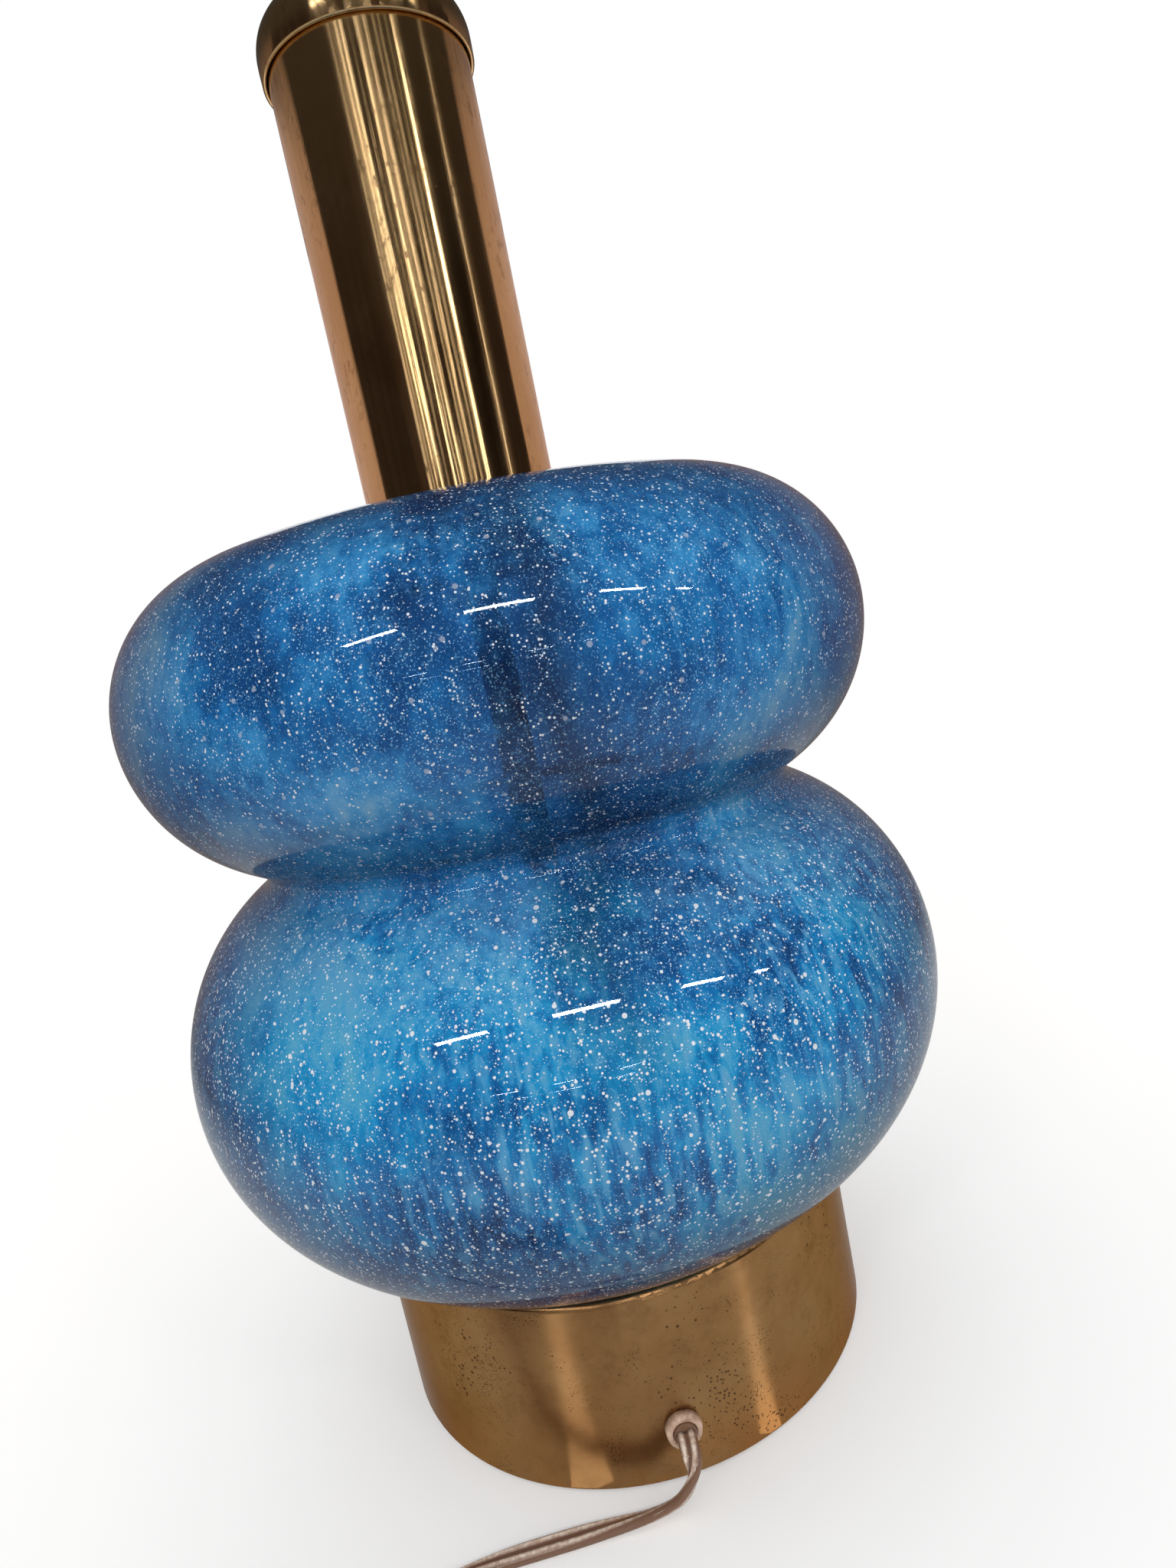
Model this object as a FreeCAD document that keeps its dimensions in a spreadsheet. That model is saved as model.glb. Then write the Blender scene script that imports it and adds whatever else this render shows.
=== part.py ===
"""Glass table lamp: a blown two-lobed glass body between a spun brass base can and a brass neck tube.

Millimetres. The lamp's axis is Z, the table is z = 0, and -Y is the side that the cord leaves.
"""
import FreeCAD, Part
import math
import os

import Sketcher
from FreeCAD import Placement, Rotation, Vector

SIZES = {
    # base can, its weight and its felt
    "base_radius": 69.4,
    "base_wall": 1.0,
    "base_height": 51.2,
    "base_edge": 1.6,
    "felt_thickness": 1.2,
    "felt_inset": 2.0,
    "board_thickness": 2.0,
    "weight_height": 22.0,
    "weight_edge": 1.5,
    "loose_fit": 0.3,
    # threaded pipe and what is screwed to it
    "pipe_radius": 5.1,
    "pipe_bore": 3.5,
    "pipe_fit": 0.15,
    "pipe_end": 1.2,
    "nut_across": 16.0,
    "nut_height": 4.5,
    "weight_washer_radius": 16.0,
    "weight_washer_thickness": 1.6,
    # blown glass: two lobes, each a round in section, with a pinched waist
    "seat_washer_thickness": 0.8,
    "seat_washer_radius": 46.0,
    "glass_wall": 4.0,
    "lower_lobe_centre": 50.1,
    "lower_lobe_round": 55.5,
    "upper_lobe_centre": 57.8,
    "upper_lobe_rise": 94.2,
    "upper_lobe_round": 43.0,
    "shoulder_round": 40.0,
    "waist_round": 4.0,
    "well_margin": 6.201,
    "crest_round": 22.0,
    "crest_slope": 45.0,
    "well_round": 6.0,
    "mouth_radius": 20.0,
    "bottom_hole": 9.0,
    # brass neck and its cap
    "neck_radius": 26.0,
    "neck_wall": 0.9,
    "neck_clear": 113.8,
    "gasket_thickness": 0.8,
    "gasket_overhang": 2.0,
    "gasket_width": 6.0,
    "centring_thickness": 1.5,
    "cap_gap": 1.5,
    "cap_wall": 1.0,
    "cap_skirt": 5.0,
    "cap_shoulder": 9.5,
    "cap_washer_radius": 12.0,
    "cap_washer_thickness": 1.2,
    # cord bushing in the can's wall
    "bushing_height": 14.75,
    "bushing_turn": 3.8,
    "bushing_head": 5.2,
    "bushing_head_depth": 2.4,
    "bushing_barrel": 4.1,
    "bushing_lip": 0.5,
    "bushing_lip_depth": 1.6,
    "bushing_hole": 3.15,
    "bushing_fit": 0.1,
    # flat twin cord
    "cord_width": 5.8,
    "cord_thickness": 2.9,
    "lead_radius": 1.3,
    "coil_mean_radius": 30.5,
    "coil_pitch": 3.5,
    "coil_layer": 6.3,
    "tie_width": 9.0,
    "tie_thickness": 0.6,
    "tie_clear": 0.3,
    # plug
    "plug_length": 26.0,
    "plug_width": 25.0,
    "plug_height": 12.5,
    "plug_nose_width": 13.0,
    "plug_nose_height": 8.5,
    "plug_edge": 3.0,
    "blade_length": 17.0,
    "blade_width": 6.35,
    "blade_thickness": 1.5,
    "blade_spacing": 12.7,
    # harp and its saddle
    "top_turn": -90.0,
    "saddle_thickness": 1.4,
    "saddle_width": 14.0,
    "saddle_shoulder": 7.0,
    "saddle_bend": 2.6,
    "tongue_width": 5.0,
    "tongue_height": 12.5,
    "harp_half_width": 30.0,
    "harp_foot_radius": 3.3,
    "harp_foot_height": 14.0,
    "harp_slot_fit": 0.2,
    "harp_wire_radius": 1.8,
    "harp_leg": 36.0,
    "harp_flare_angle": 35.0,
    "harp_flare_round": 50.0,
    "harp_side_round": 100.0,
    "harp_flat_depth": 0.7,
    "harp_flat_half": 7.0,
    "stud_pad_radius": 6.5,
    "stud_pad_thickness": 2.2,
    "stud_radius": 3.15,
    "stud_length": 9.0,
    "ferrule_length": 17.0,
    "ferrule_wall": 1.0,
    "ferrule_fit": 0.12,
    "finial_height": 26.0,
    "finial_radius": 7.5,
    "finial_foot_radius": 6.2,
    "finial_waist": 2.8,
    "thread_fit": 0.05,
    # socket
    "hub_radius": 8.0,
    "hub_height": 7.0,
    "socket_cap_height": 21.0,
    "socket_cap_flare": 9.0,
    "socket_wall": 0.6,
    "shell_fit": 0.1,
    "shell_height": 45.0,
    "shell_lip": 1.2,
    "liner_wall": 0.9,
    "insulator_height": 18.0,
    "insulator_flat": 11.6,
    "insulator_recess": 10.4,
    "recess_depth": 5.0,
    "bulb_radius": 13.1,
    "bulb_shell_wall": 0.4,
    "bulb_shell_height": 22.0,
    "bulb_shell_flange": 0.8,
    "bulb_shell_gap": 0.7,
    "contact_width": 6.0,
    "contact_thickness": 0.5,
    "stem_radius": 1.8,
    "stem_bore": 8.0,
    "knob_radius": 5.4,
    "knob_length": 13.0,
    "knob_flute": 0.9,
    "set_screw_radius": 1.6,
    "terminal_radius": 2.6,
}


class Size:
    """A length or angle of the lamp: its value, and the sheet's expression for it."""

    def __init__(self, value, text):
        self.value = value
        self.text = text

    def __add__(self, other):
        return Size(self.value + value_of(other), f"({self.text} + {text_of(other)})")

    def __radd__(self, other):
        return self + other

    def __sub__(self, other):
        return Size(self.value - value_of(other), f"({self.text} - {text_of(other)})")

    def __rsub__(self, other):
        return Size(value_of(other) - self.value, f"({text_of(other)} - {self.text})")

    def __mul__(self, other):
        return Size(self.value * value_of(other), f"({self.text} * {text_of(other)})")

    def __rmul__(self, other):
        return self * other

    def __truediv__(self, other):
        return Size(self.value / value_of(other), f"({self.text} / {text_of(other)})")

    def __neg__(self):
        return Size(-self.value, f"(0 - {self.text})")


def value_of(size):
    return size.value if isinstance(size, Size) else float(size)


def text_of(size):
    return size.text if isinstance(size, Size) else repr(float(size))


def root(size):
    return Size(math.sqrt(size.value), f"sqrt({size.text})")


def sine(angle):
    return Size(math.sin(math.radians(angle.value)), f"sin({angle.text})")


def cosine(angle):
    return Size(math.cos(math.radians(angle.value)), f"cos({angle.text})")


doc = FreeCAD.newDocument("glass_table_lamp")
sheet = doc.addObject("Spreadsheet::Sheet", "sizes")


class Sheet:
    """The driving dimensions, each an attribute that is also a named cell."""


dim = Sheet()
for row, (alias, number) in enumerate(SIZES.items(), start=1):
    sheet.set(f"A{row}", alias)
    sheet.set(f"B{row}", str(number))
    sheet.setAlias(f"B{row}", alias)
    setattr(dim, alias, Size(number, f"sizes.{alias}"))
doc.recompute()

parts = {}


def keep(obj, name):
    """Name a finished piece, which is also its file's name."""
    obj.Label = name
    parts[name] = obj
    return obj


def bind(obj, **sizes):
    """Tie properties to sizes. A double underscore stands for a dot."""
    for prop, size in sizes.items():
        obj.setExpression(prop.replace("__", "."), text_of(size))
    return obj


def place(obj, x=0.0, y=0.0, z=0.0):
    return bind(obj, Placement__Base__x=x, Placement__Base__y=y, Placement__Base__z=z)


def cylinder(name, radius, height, x=0.0, y=0.0, z=0.0):
    obj = doc.addObject("Part::Cylinder", name)
    bind(obj, Radius=radius, Height=height)
    return place(obj, x, y, z)


def box(name, length, width, height, x=0.0, y=0.0, z=0.0):
    """A block whose middle is at x, y and whose lowest face is at z."""
    obj = doc.addObject("Part::Box", name)
    bind(obj, Length=length, Width=width, Height=height)
    return place(obj, x - length / 2, y - width / 2, z)


def cut(name, base, tool):
    obj = doc.addObject("Part::Cut", name)
    obj.Base = base
    obj.Tool = tool
    return obj


def fuse(name, *shapes):
    obj = doc.addObject("Part::MultiFuse", name)
    obj.Shapes = list(shapes)
    return obj


def ring(name, outer, inner, height, z):
    """A flat ring with its lower face at z."""
    disc = cylinder(f"{name}_disc", outer, height, z=z)
    hole = cylinder(f"{name}_hole", inner, height + 2, z=z - 1)
    return keep(cut(name, disc, hole), name)


def on_plane(body, role, name):
    """A sketch on one of the body's own origin planes."""
    plane = next(f for f in body.Origin.OriginFeatures if f.Role == role)
    sketch = body.newObject("Sketcher::SketchObject", name)
    sketch.AttachmentSupport = [(plane, "")]
    sketch.MapMode = "FlatFace"
    return sketch


def pin_point(sketch, edge, end, point):
    """Hold one end of an edge at a point given by two sizes."""
    for kind, axis, size in (("DistanceX", -2, point[0]), ("DistanceY", -1, point[1])):
        if isinstance(size, Size):
            value = size.value
            if value >= 0:
                constraint = Sketcher.Constraint(kind, -1, 1, edge, end, value)
            else:
                constraint = Sketcher.Constraint(kind, edge, end, -1, 1, -value)
                size = -size
            index = sketch.addConstraint(constraint)
            sketch.setExpression(f"Constraints[{index}]", size.text)
        else:
            sketch.addConstraint(Sketcher.Constraint("PointOnObject", edge, end, axis))


def arc_through(start, end, radius):
    """The arc of that radius from start to end, bending left if radius > 0, right if < 0."""
    x0, y0, x1, y1 = start[0], start[1], end[0], end[1]
    half = math.hypot(x1 - x0, y1 - y0) / 2
    rise = math.copysign(math.sqrt(radius * radius - half * half), radius)
    cx = (x0 + x1) / 2 - (y1 - y0) / (2 * half) * rise
    cy = (y0 + y1) / 2 + (x1 - x0) / (2 * half) * rise
    a0 = math.atan2(y0 - cy, x0 - cx)
    a1 = math.atan2(y1 - cy, x1 - cx)
    circle = Part.Circle(Vector(cx, cy, 0), Vector(0, 0, 1), abs(radius))
    if radius > 0:
        return Part.ArcOfCircle(circle, a0, a1 if a1 > a0 else a1 + 2 * math.pi)
    return Part.ArcOfCircle(circle, a1, a0 if a0 > a1 else a0 + 2 * math.pi)


def draw(sketch, path, closed=True):
    """Draw lines and arcs through a path of (x, y) or (x, y, radius, side) points.

    A radius bends the edge that leaves its point: side +1 to the left, -1 to the right.
    Each coordinate is a Size, or a plain 0 for a point on that axis.
    """
    count = len(path) if closed else len(path) - 1
    first = len(sketch.Geometry)
    heads, tails = [], []
    for i in range(count):
        here, there = path[i], path[(i + 1) % len(path)]
        a = (value_of(here[0]), value_of(here[1]))
        b = (value_of(there[0]), value_of(there[1]))
        if len(here) == 2:
            edge = sketch.addGeometry(Part.LineSegment(Vector(*a, 0), Vector(*b, 0)), False)
            heads.append((edge, 1))
            tails.append((edge, 2))
        else:
            radius, side = here[2], here[3]
            edge = sketch.addGeometry(arc_through(a, b, side * radius.value), False)
            heads.append((edge, 1 if side > 0 else 2))
            tails.append((edge, 2 if side > 0 else 1))
    for i in range(count):
        following = (i + 1) % count
        if closed or i + 1 < count:
            sketch.addConstraint(Sketcher.Constraint("Coincident", *tails[i], *heads[following]))
        pin_point(sketch, *heads[i], path[i])
    if not closed:
        pin_point(sketch, *tails[-1], path[-1])
    for i in range(count):
        if len(path[i]) == 4:
            radius = path[i][2]
            index = sketch.addConstraint(Sketcher.Constraint("Radius", first + i, radius.value))
            sketch.setExpression(f"Constraints[{index}]", radius.text)
    return sketch


def round_hole(sketch, x, y, radius):
    """A circle in a sketch."""
    centre = Vector(value_of(x), value_of(y), 0)
    circle = Part.Circle(centre, Vector(0, 0, 1), radius.value)
    edge = sketch.addGeometry(circle, False)
    pin_point(sketch, edge, 3, (x, y))
    index = sketch.addConstraint(Sketcher.Constraint("Radius", edge, radius.value))
    sketch.setExpression(f"Constraints[{index}]", radius.text)
    return sketch


def turned(name, path):
    """A body turned about the Z axis from a closed outline of (radius, height) points."""
    body = doc.addObject("PartDesign::Body", name)
    sketch = draw(on_plane(body, "XZ_Plane", f"{name}_outline"), path)
    turn = body.newObject("PartDesign::Revolution", f"{name}_turn")
    turn.Profile = (sketch, [""])
    turn.ReferenceAxis = (sketch, ["V_Axis"])
    turn.Angle = 360
    return body


def pad(body, sketch, length, name, midplane=False):
    feature = body.newObject("PartDesign::Pad", name)
    feature.Profile = (sketch, [""])
    feature.Midplane = midplane
    return bind(feature, Length=length)


def pocket(body, sketch, length, name, reverse=False, midplane=False):
    feature = body.newObject("PartDesign::Pocket", name)
    feature.Profile = (sketch, [""])
    feature.Reversed = reverse
    feature.Midplane = midplane
    return bind(feature, Length=length)


def rectangle(x0, x1, y0, y1):
    return [(x0, y0), (x1, y0), (x1, y1), (x0, y1)]


def hex_nut(name, hole, z):
    """A hex nut with its lower face at z."""
    prism = doc.addObject("Part::Prism", f"{name}_blank")
    prism.Polygon = 6
    bind(prism, Circumradius=dim.nut_across / math.sqrt(3), Height=dim.nut_height)
    place(prism, z=z)
    bore = cylinder(f"{name}_bore", hole, dim.nut_height + 2, z=z - 1)
    return keep(cut(name, prism, bore), name)


def solid(name, shape):
    """A piece whose shape is made with the kernel's own functions."""
    obj = doc.addObject("Part::Feature", name)
    obj.Shape = shape
    return keep(obj, name)


# Heights from the table up, each from the piece below it.
can_bottom = dim.felt_thickness
can_top = can_bottom + dim.base_height
can_inside = dim.base_radius - dim.base_wall
can_ceiling = can_top - dim.base_wall
weight_bottom = can_ceiling - dim.weight_height
nut_top = weight_bottom - dim.weight_washer_thickness
nut_bottom = nut_top - dim.nut_height
pipe_foot = nut_bottom - dim.pipe_end
pipe_hole = dim.pipe_radius + dim.pipe_fit
glass_bottom = can_top + dim.seat_washer_thickness
lower_centre_z = glass_bottom + dim.lower_lobe_round
upper_centre_z = lower_centre_z + dim.upper_lobe_rise
glass_top = upper_centre_z + dim.shoulder_round


def base():
    """Felt, fibreboard, spun can, iron ring and the nut that draws the stack together."""
    felt = cylinder("base_felt", dim.base_radius - dim.felt_inset, dim.felt_thickness)
    keep(felt, "base_felt")
    board = cylinder("bottom_disc", can_inside - dim.loose_fit, dim.board_thickness, z=can_bottom)
    keep(board, "bottom_disc")

    edge, inner_edge = dim.base_edge, dim.base_edge - dim.base_wall
    can = turned("base_shell", [
        (can_inside, can_bottom),
        (dim.base_radius, can_bottom),
        (dim.base_radius, can_top - edge, edge, 1),
        (dim.base_radius - edge, can_top),
        (pipe_hole, can_top),
        (pipe_hole, can_ceiling),
        (can_inside - inner_edge, can_ceiling, inner_edge, -1),
        (can_inside, can_ceiling - inner_edge),
    ])
    hole = on_plane(can, "XZ_Plane", "cord_hole")
    hole.AttachmentOffset = Placement(Vector(), Rotation(Vector(0, 1, 0), dim.bushing_turn.value))
    hole.setExpression("AttachmentOffset.Rotation.Angle", dim.bushing_turn.text)
    round_hole(hole, 0, dim.bushing_height, dim.bushing_barrel + dim.bushing_fit)
    pocket(can, hole, dim.base_radius + 2, "cord_hole_cut", reverse=True)
    keep(can, "base_shell")

    edge = dim.weight_edge
    outside = can_inside - dim.loose_fit
    top = can_ceiling
    keep(turned("base_weight", [
        (pipe_hole, weight_bottom),
        (outside - edge, weight_bottom),
        (outside, weight_bottom + edge),
        (outside, top - edge),
        (outside - edge, top),
        (pipe_hole, top),
    ]), "base_weight")
    ring("weight_washer", dim.weight_washer_radius, pipe_hole, dim.weight_washer_thickness, nut_top)
    hex_nut("base_nut", dim.pipe_radius + dim.thread_fit, nut_bottom)


def waist_point(centre_r, centre_z, radius, away_r, away_z):
    """Where a lobe's round meets the waist's small round, on the line between their centres."""
    reach = root((away_r - centre_r) * (away_r - centre_r) + (away_z - centre_z) * (away_z - centre_z))
    return (centre_r + (away_r - centre_r) * radius / reach,
            centre_z + (away_z - centre_z) * radius / reach)


def waist_centre():
    """The centre of the waist's round, which touches both lobes from outside."""
    low_reach = dim.lower_lobe_round + dim.waist_round
    high_reach = dim.upper_lobe_round + dim.waist_round
    along_r = dim.upper_lobe_centre - dim.lower_lobe_centre
    along_z = dim.upper_lobe_rise
    apart = root(along_r * along_r + along_z * along_z)
    share = (low_reach * low_reach - high_reach * high_reach + apart * apart) / (2 * apart)
    off = root(low_reach * low_reach - share * share)
    return (dim.lower_lobe_centre + (along_r * share + along_z * off) / apart,
            lower_centre_z + (along_z * share - along_r * off) / apart)


def glass():
    """Felt washer and the blown body: an outer skin of rounds, and an inner one a wall inside it."""
    ring("glass_seat_washer", dim.seat_washer_radius, dim.bottom_hole, dim.seat_washer_thickness, can_top)

    waist_r, waist_z = waist_centre()
    wall = dim.glass_wall
    lower_r, upper_r = dim.lower_lobe_centre, dim.upper_lobe_centre
    shoulder_r = upper_r + dim.upper_lobe_round - dim.shoulder_round
    low_meet = waist_point(lower_r, lower_centre_z, dim.lower_lobe_round, waist_r, waist_z)
    high_meet = waist_point(upper_r, upper_centre_z, dim.upper_lobe_round, waist_r, waist_z)
    low_inside = waist_point(lower_r, lower_centre_z, dim.lower_lobe_round - wall, waist_r, waist_z)
    high_inside = waist_point(upper_r, upper_centre_z, dim.upper_lobe_round - wall, waist_r, waist_z)

    crest_r = dim.neck_radius + dim.well_margin + (dim.crest_round + dim.well_round) * sine(dim.crest_slope)
    crest_z = glass_top - dim.crest_round
    drop_r = crest_r - dim.crest_round * sine(dim.crest_slope)
    drop_z = crest_z + dim.crest_round * cosine(dim.crest_slope)
    in_r = crest_r - (dim.crest_round - wall) * sine(dim.crest_slope)
    in_z = crest_z + (dim.crest_round - wall) * cosine(dim.crest_slope)
    well_r = drop_r - dim.well_round * sine(dim.crest_slope)
    under_r = in_r - (dim.well_round + wall) * sine(dim.crest_slope)
    under_z = seat_z - wall

    outside = [
        (dim.bottom_hole, glass_bottom),
        (lower_r, glass_bottom, dim.lower_lobe_round, 1),
        (*low_meet, dim.waist_round, -1),
        (*high_meet, dim.upper_lobe_round, 1),
        (upper_r + dim.upper_lobe_round, upper_centre_z, dim.shoulder_round, 1),
        (shoulder_r, glass_top),
        (crest_r, glass_top, dim.crest_round, 1),
        (drop_r, drop_z, dim.well_round, -1),
        (well_r, seat_z),
        (dim.mouth_radius, seat_z),
    ]
    inside = [
        (dim.mouth_radius, under_z),
        (under_r, under_z, dim.well_round + wall, 1),
        (in_r, in_z, dim.crest_round - wall, -1),
        (crest_r, glass_top - wall),
        (shoulder_r, glass_top - wall, dim.shoulder_round - wall, -1),
        (upper_r + dim.upper_lobe_round - wall, upper_centre_z, dim.upper_lobe_round - wall, -1),
        (*high_inside, dim.waist_round + wall, 1),
        (*low_inside, dim.lower_lobe_round - wall, -1),
        (lower_r, glass_bottom + wall),
        (dim.bottom_hole, glass_bottom + wall),
    ]
    keep(turned("glass_body", outside + inside), "glass_body")


# The well in the glass top, where the neck stands, and the stack above it.
well_drop = dim.crest_round * (1 - cosine(dim.crest_slope)) + dim.well_round * (1 - cosine(dim.crest_slope))
seat_z = glass_top - well_drop
neck_foot = seat_z + dim.gasket_thickness
cap_rim = glass_top + dim.neck_clear
cap_top = cap_rim + dim.cap_skirt + dim.cap_shoulder
cap_ceiling = cap_top - dim.cap_wall
cap_inside = dim.neck_radius + dim.cap_gap
cap_radius = cap_inside + dim.cap_wall
cap_inner_round = dim.cap_shoulder - dim.cap_wall
tube_reach = dim.neck_radius - (cap_inside - cap_inner_round)
neck_top = (cap_ceiling - cap_inner_round - 0.1
            + root(cap_inner_round * cap_inner_round - tube_reach * tube_reach))
saddle_z = cap_top + dim.cap_washer_thickness + dim.nut_height
socket_z = saddle_z + dim.saddle_thickness
pipe_top = socket_z + dim.hub_height + 1
cord_end = pipe_top + 0.5


def neck():
    """Gasket, centring disc, tube, cap, and the threaded pipe that runs through everything."""
    ring("neck_gasket", dim.neck_radius + dim.gasket_overhang,
         dim.neck_radius + dim.gasket_overhang - dim.gasket_width, dim.gasket_thickness, seat_z)
    neck_inside = dim.neck_radius - dim.neck_wall
    ring("neck_centring_washer", neck_inside - dim.loose_fit, pipe_hole, dim.centring_thickness, neck_foot)
    keep(turned("neck_tube", rectangle(neck_inside, dim.neck_radius, neck_foot, neck_top)), "neck_tube")

    shoulder, inner = dim.cap_shoulder, cap_inner_round
    keep(turned("neck_cap", [
        (cap_inside, cap_rim),
        (cap_radius, cap_rim),
        (cap_radius, cap_rim + dim.cap_skirt, shoulder, 1),
        (cap_radius - shoulder, cap_top),
        (pipe_hole, cap_top),
        (pipe_hole, cap_ceiling),
        (cap_inside - inner, cap_ceiling, inner, -1),
        (cap_inside, cap_rim + dim.cap_skirt),
    ]), "neck_cap")
    ring("cap_washer", dim.cap_washer_radius, pipe_hole, dim.cap_washer_thickness, cap_top)
    hex_nut("cap_nut", dim.pipe_radius + dim.thread_fit, cap_top + dim.cap_washer_thickness)
    ring("lamp_pipe", dim.pipe_radius, dim.pipe_bore, pipe_top - pipe_foot, pipe_foot)


# The cord leaves the can along this direction, a little to the right of -Y.
exit_turn = math.radians(dim.bushing_turn.value)
exit_way = Vector(math.sin(exit_turn), -math.cos(exit_turn), 0)


def exit_point(radius):
    """The point on the cord hole's axis at that distance from the lamp's axis."""
    return exit_way * value_of(radius) + Vector(0, 0, dim.bushing_height.value)


def bushing():
    """Plastic snap bushing: a domed head outside the wall, a barrel through it and a lip behind."""
    hole, head, barrel = dim.bushing_hole, dim.bushing_head, dim.bushing_barrel
    depth, lip = dim.bushing_head_depth, dim.bushing_lip
    wall = dim.base_wall + 0.3
    dome = depth * 0.6
    body = turned("cord_bushing", [
        (hole, -(wall + dim.bushing_lip_depth)),
        (barrel, -(wall + dim.bushing_lip_depth)),
        (barrel + lip, -(wall + dim.bushing_lip_depth * 0.5)),
        (barrel + lip, -wall),
        (barrel, -wall),
        (barrel, 0),
        (head, 0),
        (head, depth - dome, dome, 1),
        (head - dome, depth),
        (hole + lip * 0.7, depth),
        (hole, depth - lip * 0.7),
    ])
    body.Placement = Placement(
        exit_point(dim.base_radius + 0.02),
        Rotation(Vector(0, 0, 1), dim.bushing_turn.value).multiply(Rotation(Vector(1, 0, 0), 90)))
    keep(body, "cord_bushing")


def rounded_route(points, share=0.45):
    """Straight runs joined by tangent arcs, each as large as its two runs allow.

    Returns the edges, their whole length and the arcs' radii.
    """
    edges, radii, length = [], [], 0.0
    here = points[0]
    for before, corner, after in zip(points, points[1:], points[2:]):
        run_in, run_out = corner - before, after - corner
        turn = run_in.getAngle(run_out)
        setback = share * min(run_in.Length, run_out.Length)
        radius = setback / math.tan(turn / 2)
        way_in, way_out = Vector(run_in).normalize(), Vector(run_out).normalize()
        start, end = corner - way_in * setback, corner + way_out * setback
        towards = (way_out - way_in).normalize()
        middle = corner + towards * (radius / math.cos(turn / 2) - radius)
        edges += [Part.LineSegment(here, start).toShape(), Part.Arc(start, middle, end).toShape()]
        length += (start - here).Length + radius * turn
        radii.append(radius)
        here = end
    edges.append(Part.LineSegment(here, points[-1]).toShape())
    return edges, length + (points[-1] - here).Length, radii


def tube(name, points, radius):
    """A round tube along a route, checked against its section times its length."""
    edges, length, radii = rounded_route(points)
    way = points[1] - points[0]
    section = Part.Wire([Part.makeCircle(radius, points[0], way)])
    shape = Part.Wire(edges).makePipeShell([section], True, False)
    ratio = shape.Volume / (math.pi * radius * radius * length)
    smallest = min(radii) if radii else 0.0
    print(f"{name}: {length:.1f} mm, smallest radius {smallest:.1f} mm, volume ratio {ratio:.4f}")
    print(f"{name} radii:", [round(r, 1) for r in radii])
    if abs(ratio - 1) > 0.02:
        raise ValueError(f"{name} isn't a whole tube")
    solid(name, shape)
    return length


def half_turn(start, start_way, end, end_way):
    """Two arcs that leave start along start_way and reach end along end_way."""
    chord = end - start
    both = start_way + end_way
    slack = 2 * (1 - start_way.dot(end_way))
    reach = (-chord.dot(both) + math.sqrt(chord.dot(both) ** 2 + slack * chord.dot(chord))) / slack
    middle = (start + end + (start_way - end_way) * reach) * 0.5
    arcs = []
    for a, b, way in ((start, middle, start_way), (end, middle, -end_way)):
        along = b - a
        normal = way.cross(along).normalize()
        inward = normal.cross(way)
        radius = along.dot(along) / (2 * along.dot(inward))
        centre = a + inward * radius
        bulge = ((a + b) * 0.5 - centre).normalize()
        arcs.append((a, centre + bulge * radius, b))
    first, last = arcs
    return [first, (last[2], last[1], last[0])]


coil_turns_each_way = 4
coil_middle = Vector(-108.0, -123.0, 0.0)
coil_outer = dim.coil_mean_radius + dim.coil_pitch * 1.5
coil_floor = value_of(dim.tie_thickness) + 0.1
coil_low = coil_floor + dim.cord_width.value / 2
coil_high = coil_low + dim.coil_layer.value
coil_start = coil_middle + Vector(0, coil_outer.value, coil_low)
coil_lead = Vector(13.0, 0.0, 0.0)


def coil_arcs():
    """The coil's centreline: in for four turns, up a layer in a half turn, and out for four."""
    step = dim.coil_pitch.value / 2
    halves = 2 * coil_turns_each_way
    here = coil_start
    radius = coil_outer.value
    arcs = []
    for k in range(2 * halves + 1):
        side = 1 if k % 2 == 0 else -1
        climb = coil_high - coil_low if k == halves else 0.0
        there = here + Vector(0, -side * 2 * radius, climb)
        way = Vector(-side, 0, 0)
        arcs += half_turn(here, way, there, -way)
        here = there
        radius += -step if k < halves else step
    return arcs


def least_self_gap(arcs):
    """The least space between turns of the coil, and its length.

    The flat cord on edge is an upright line as tall as its straight sides, with a round about it.
    """
    straight = dim.cord_width.value - dim.cord_thickness.value
    points, lengths, along = [], [], 0.0
    for a, b, c in arcs:
        curve = Part.Arc(a, b, c)
        long = curve.length()
        count = max(2, int(long / 1.5))
        for i in range(count):
            points.append(curve.value(curve.FirstParameter
                                      + (curve.LastParameter - curve.FirstParameter) * i / count))
            lengths.append(along + long * i / count)
        along += long
    least = 1e9
    for i in range(0, len(points), 2):
        for j in range(i + 1, len(points)):
            if lengths[j] - lengths[i] > 40:
                gap = points[i] - points[j]
                apart = math.hypot(gap.x, gap.y, max(0.0, abs(gap.z) - straight))
                least = min(least, apart - dim.cord_thickness.value)
    return least, along


def twin_section(centre, way, across, tall, lean):
    """The flat cord's section: two half rounds and two straight sides, on edge with a lean."""
    up = Rotation(way, math.degrees(lean)).multVec(Vector(0, 0, 1))
    side = up.cross(way).normalize()
    half, straight = across / 2, (tall - across) / 2
    top, low = centre + up * straight, centre - up * straight
    return Part.Wire([
        Part.LineSegment(low + side * half, top + side * half).toShape(),
        Part.Arc(top + side * half, top + up * half, top - side * half).toShape(),
        Part.LineSegment(top - side * half, low - side * half).toShape(),
        Part.Arc(low - side * half, low - up * half, low + side * half).toShape(),
    ])


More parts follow.
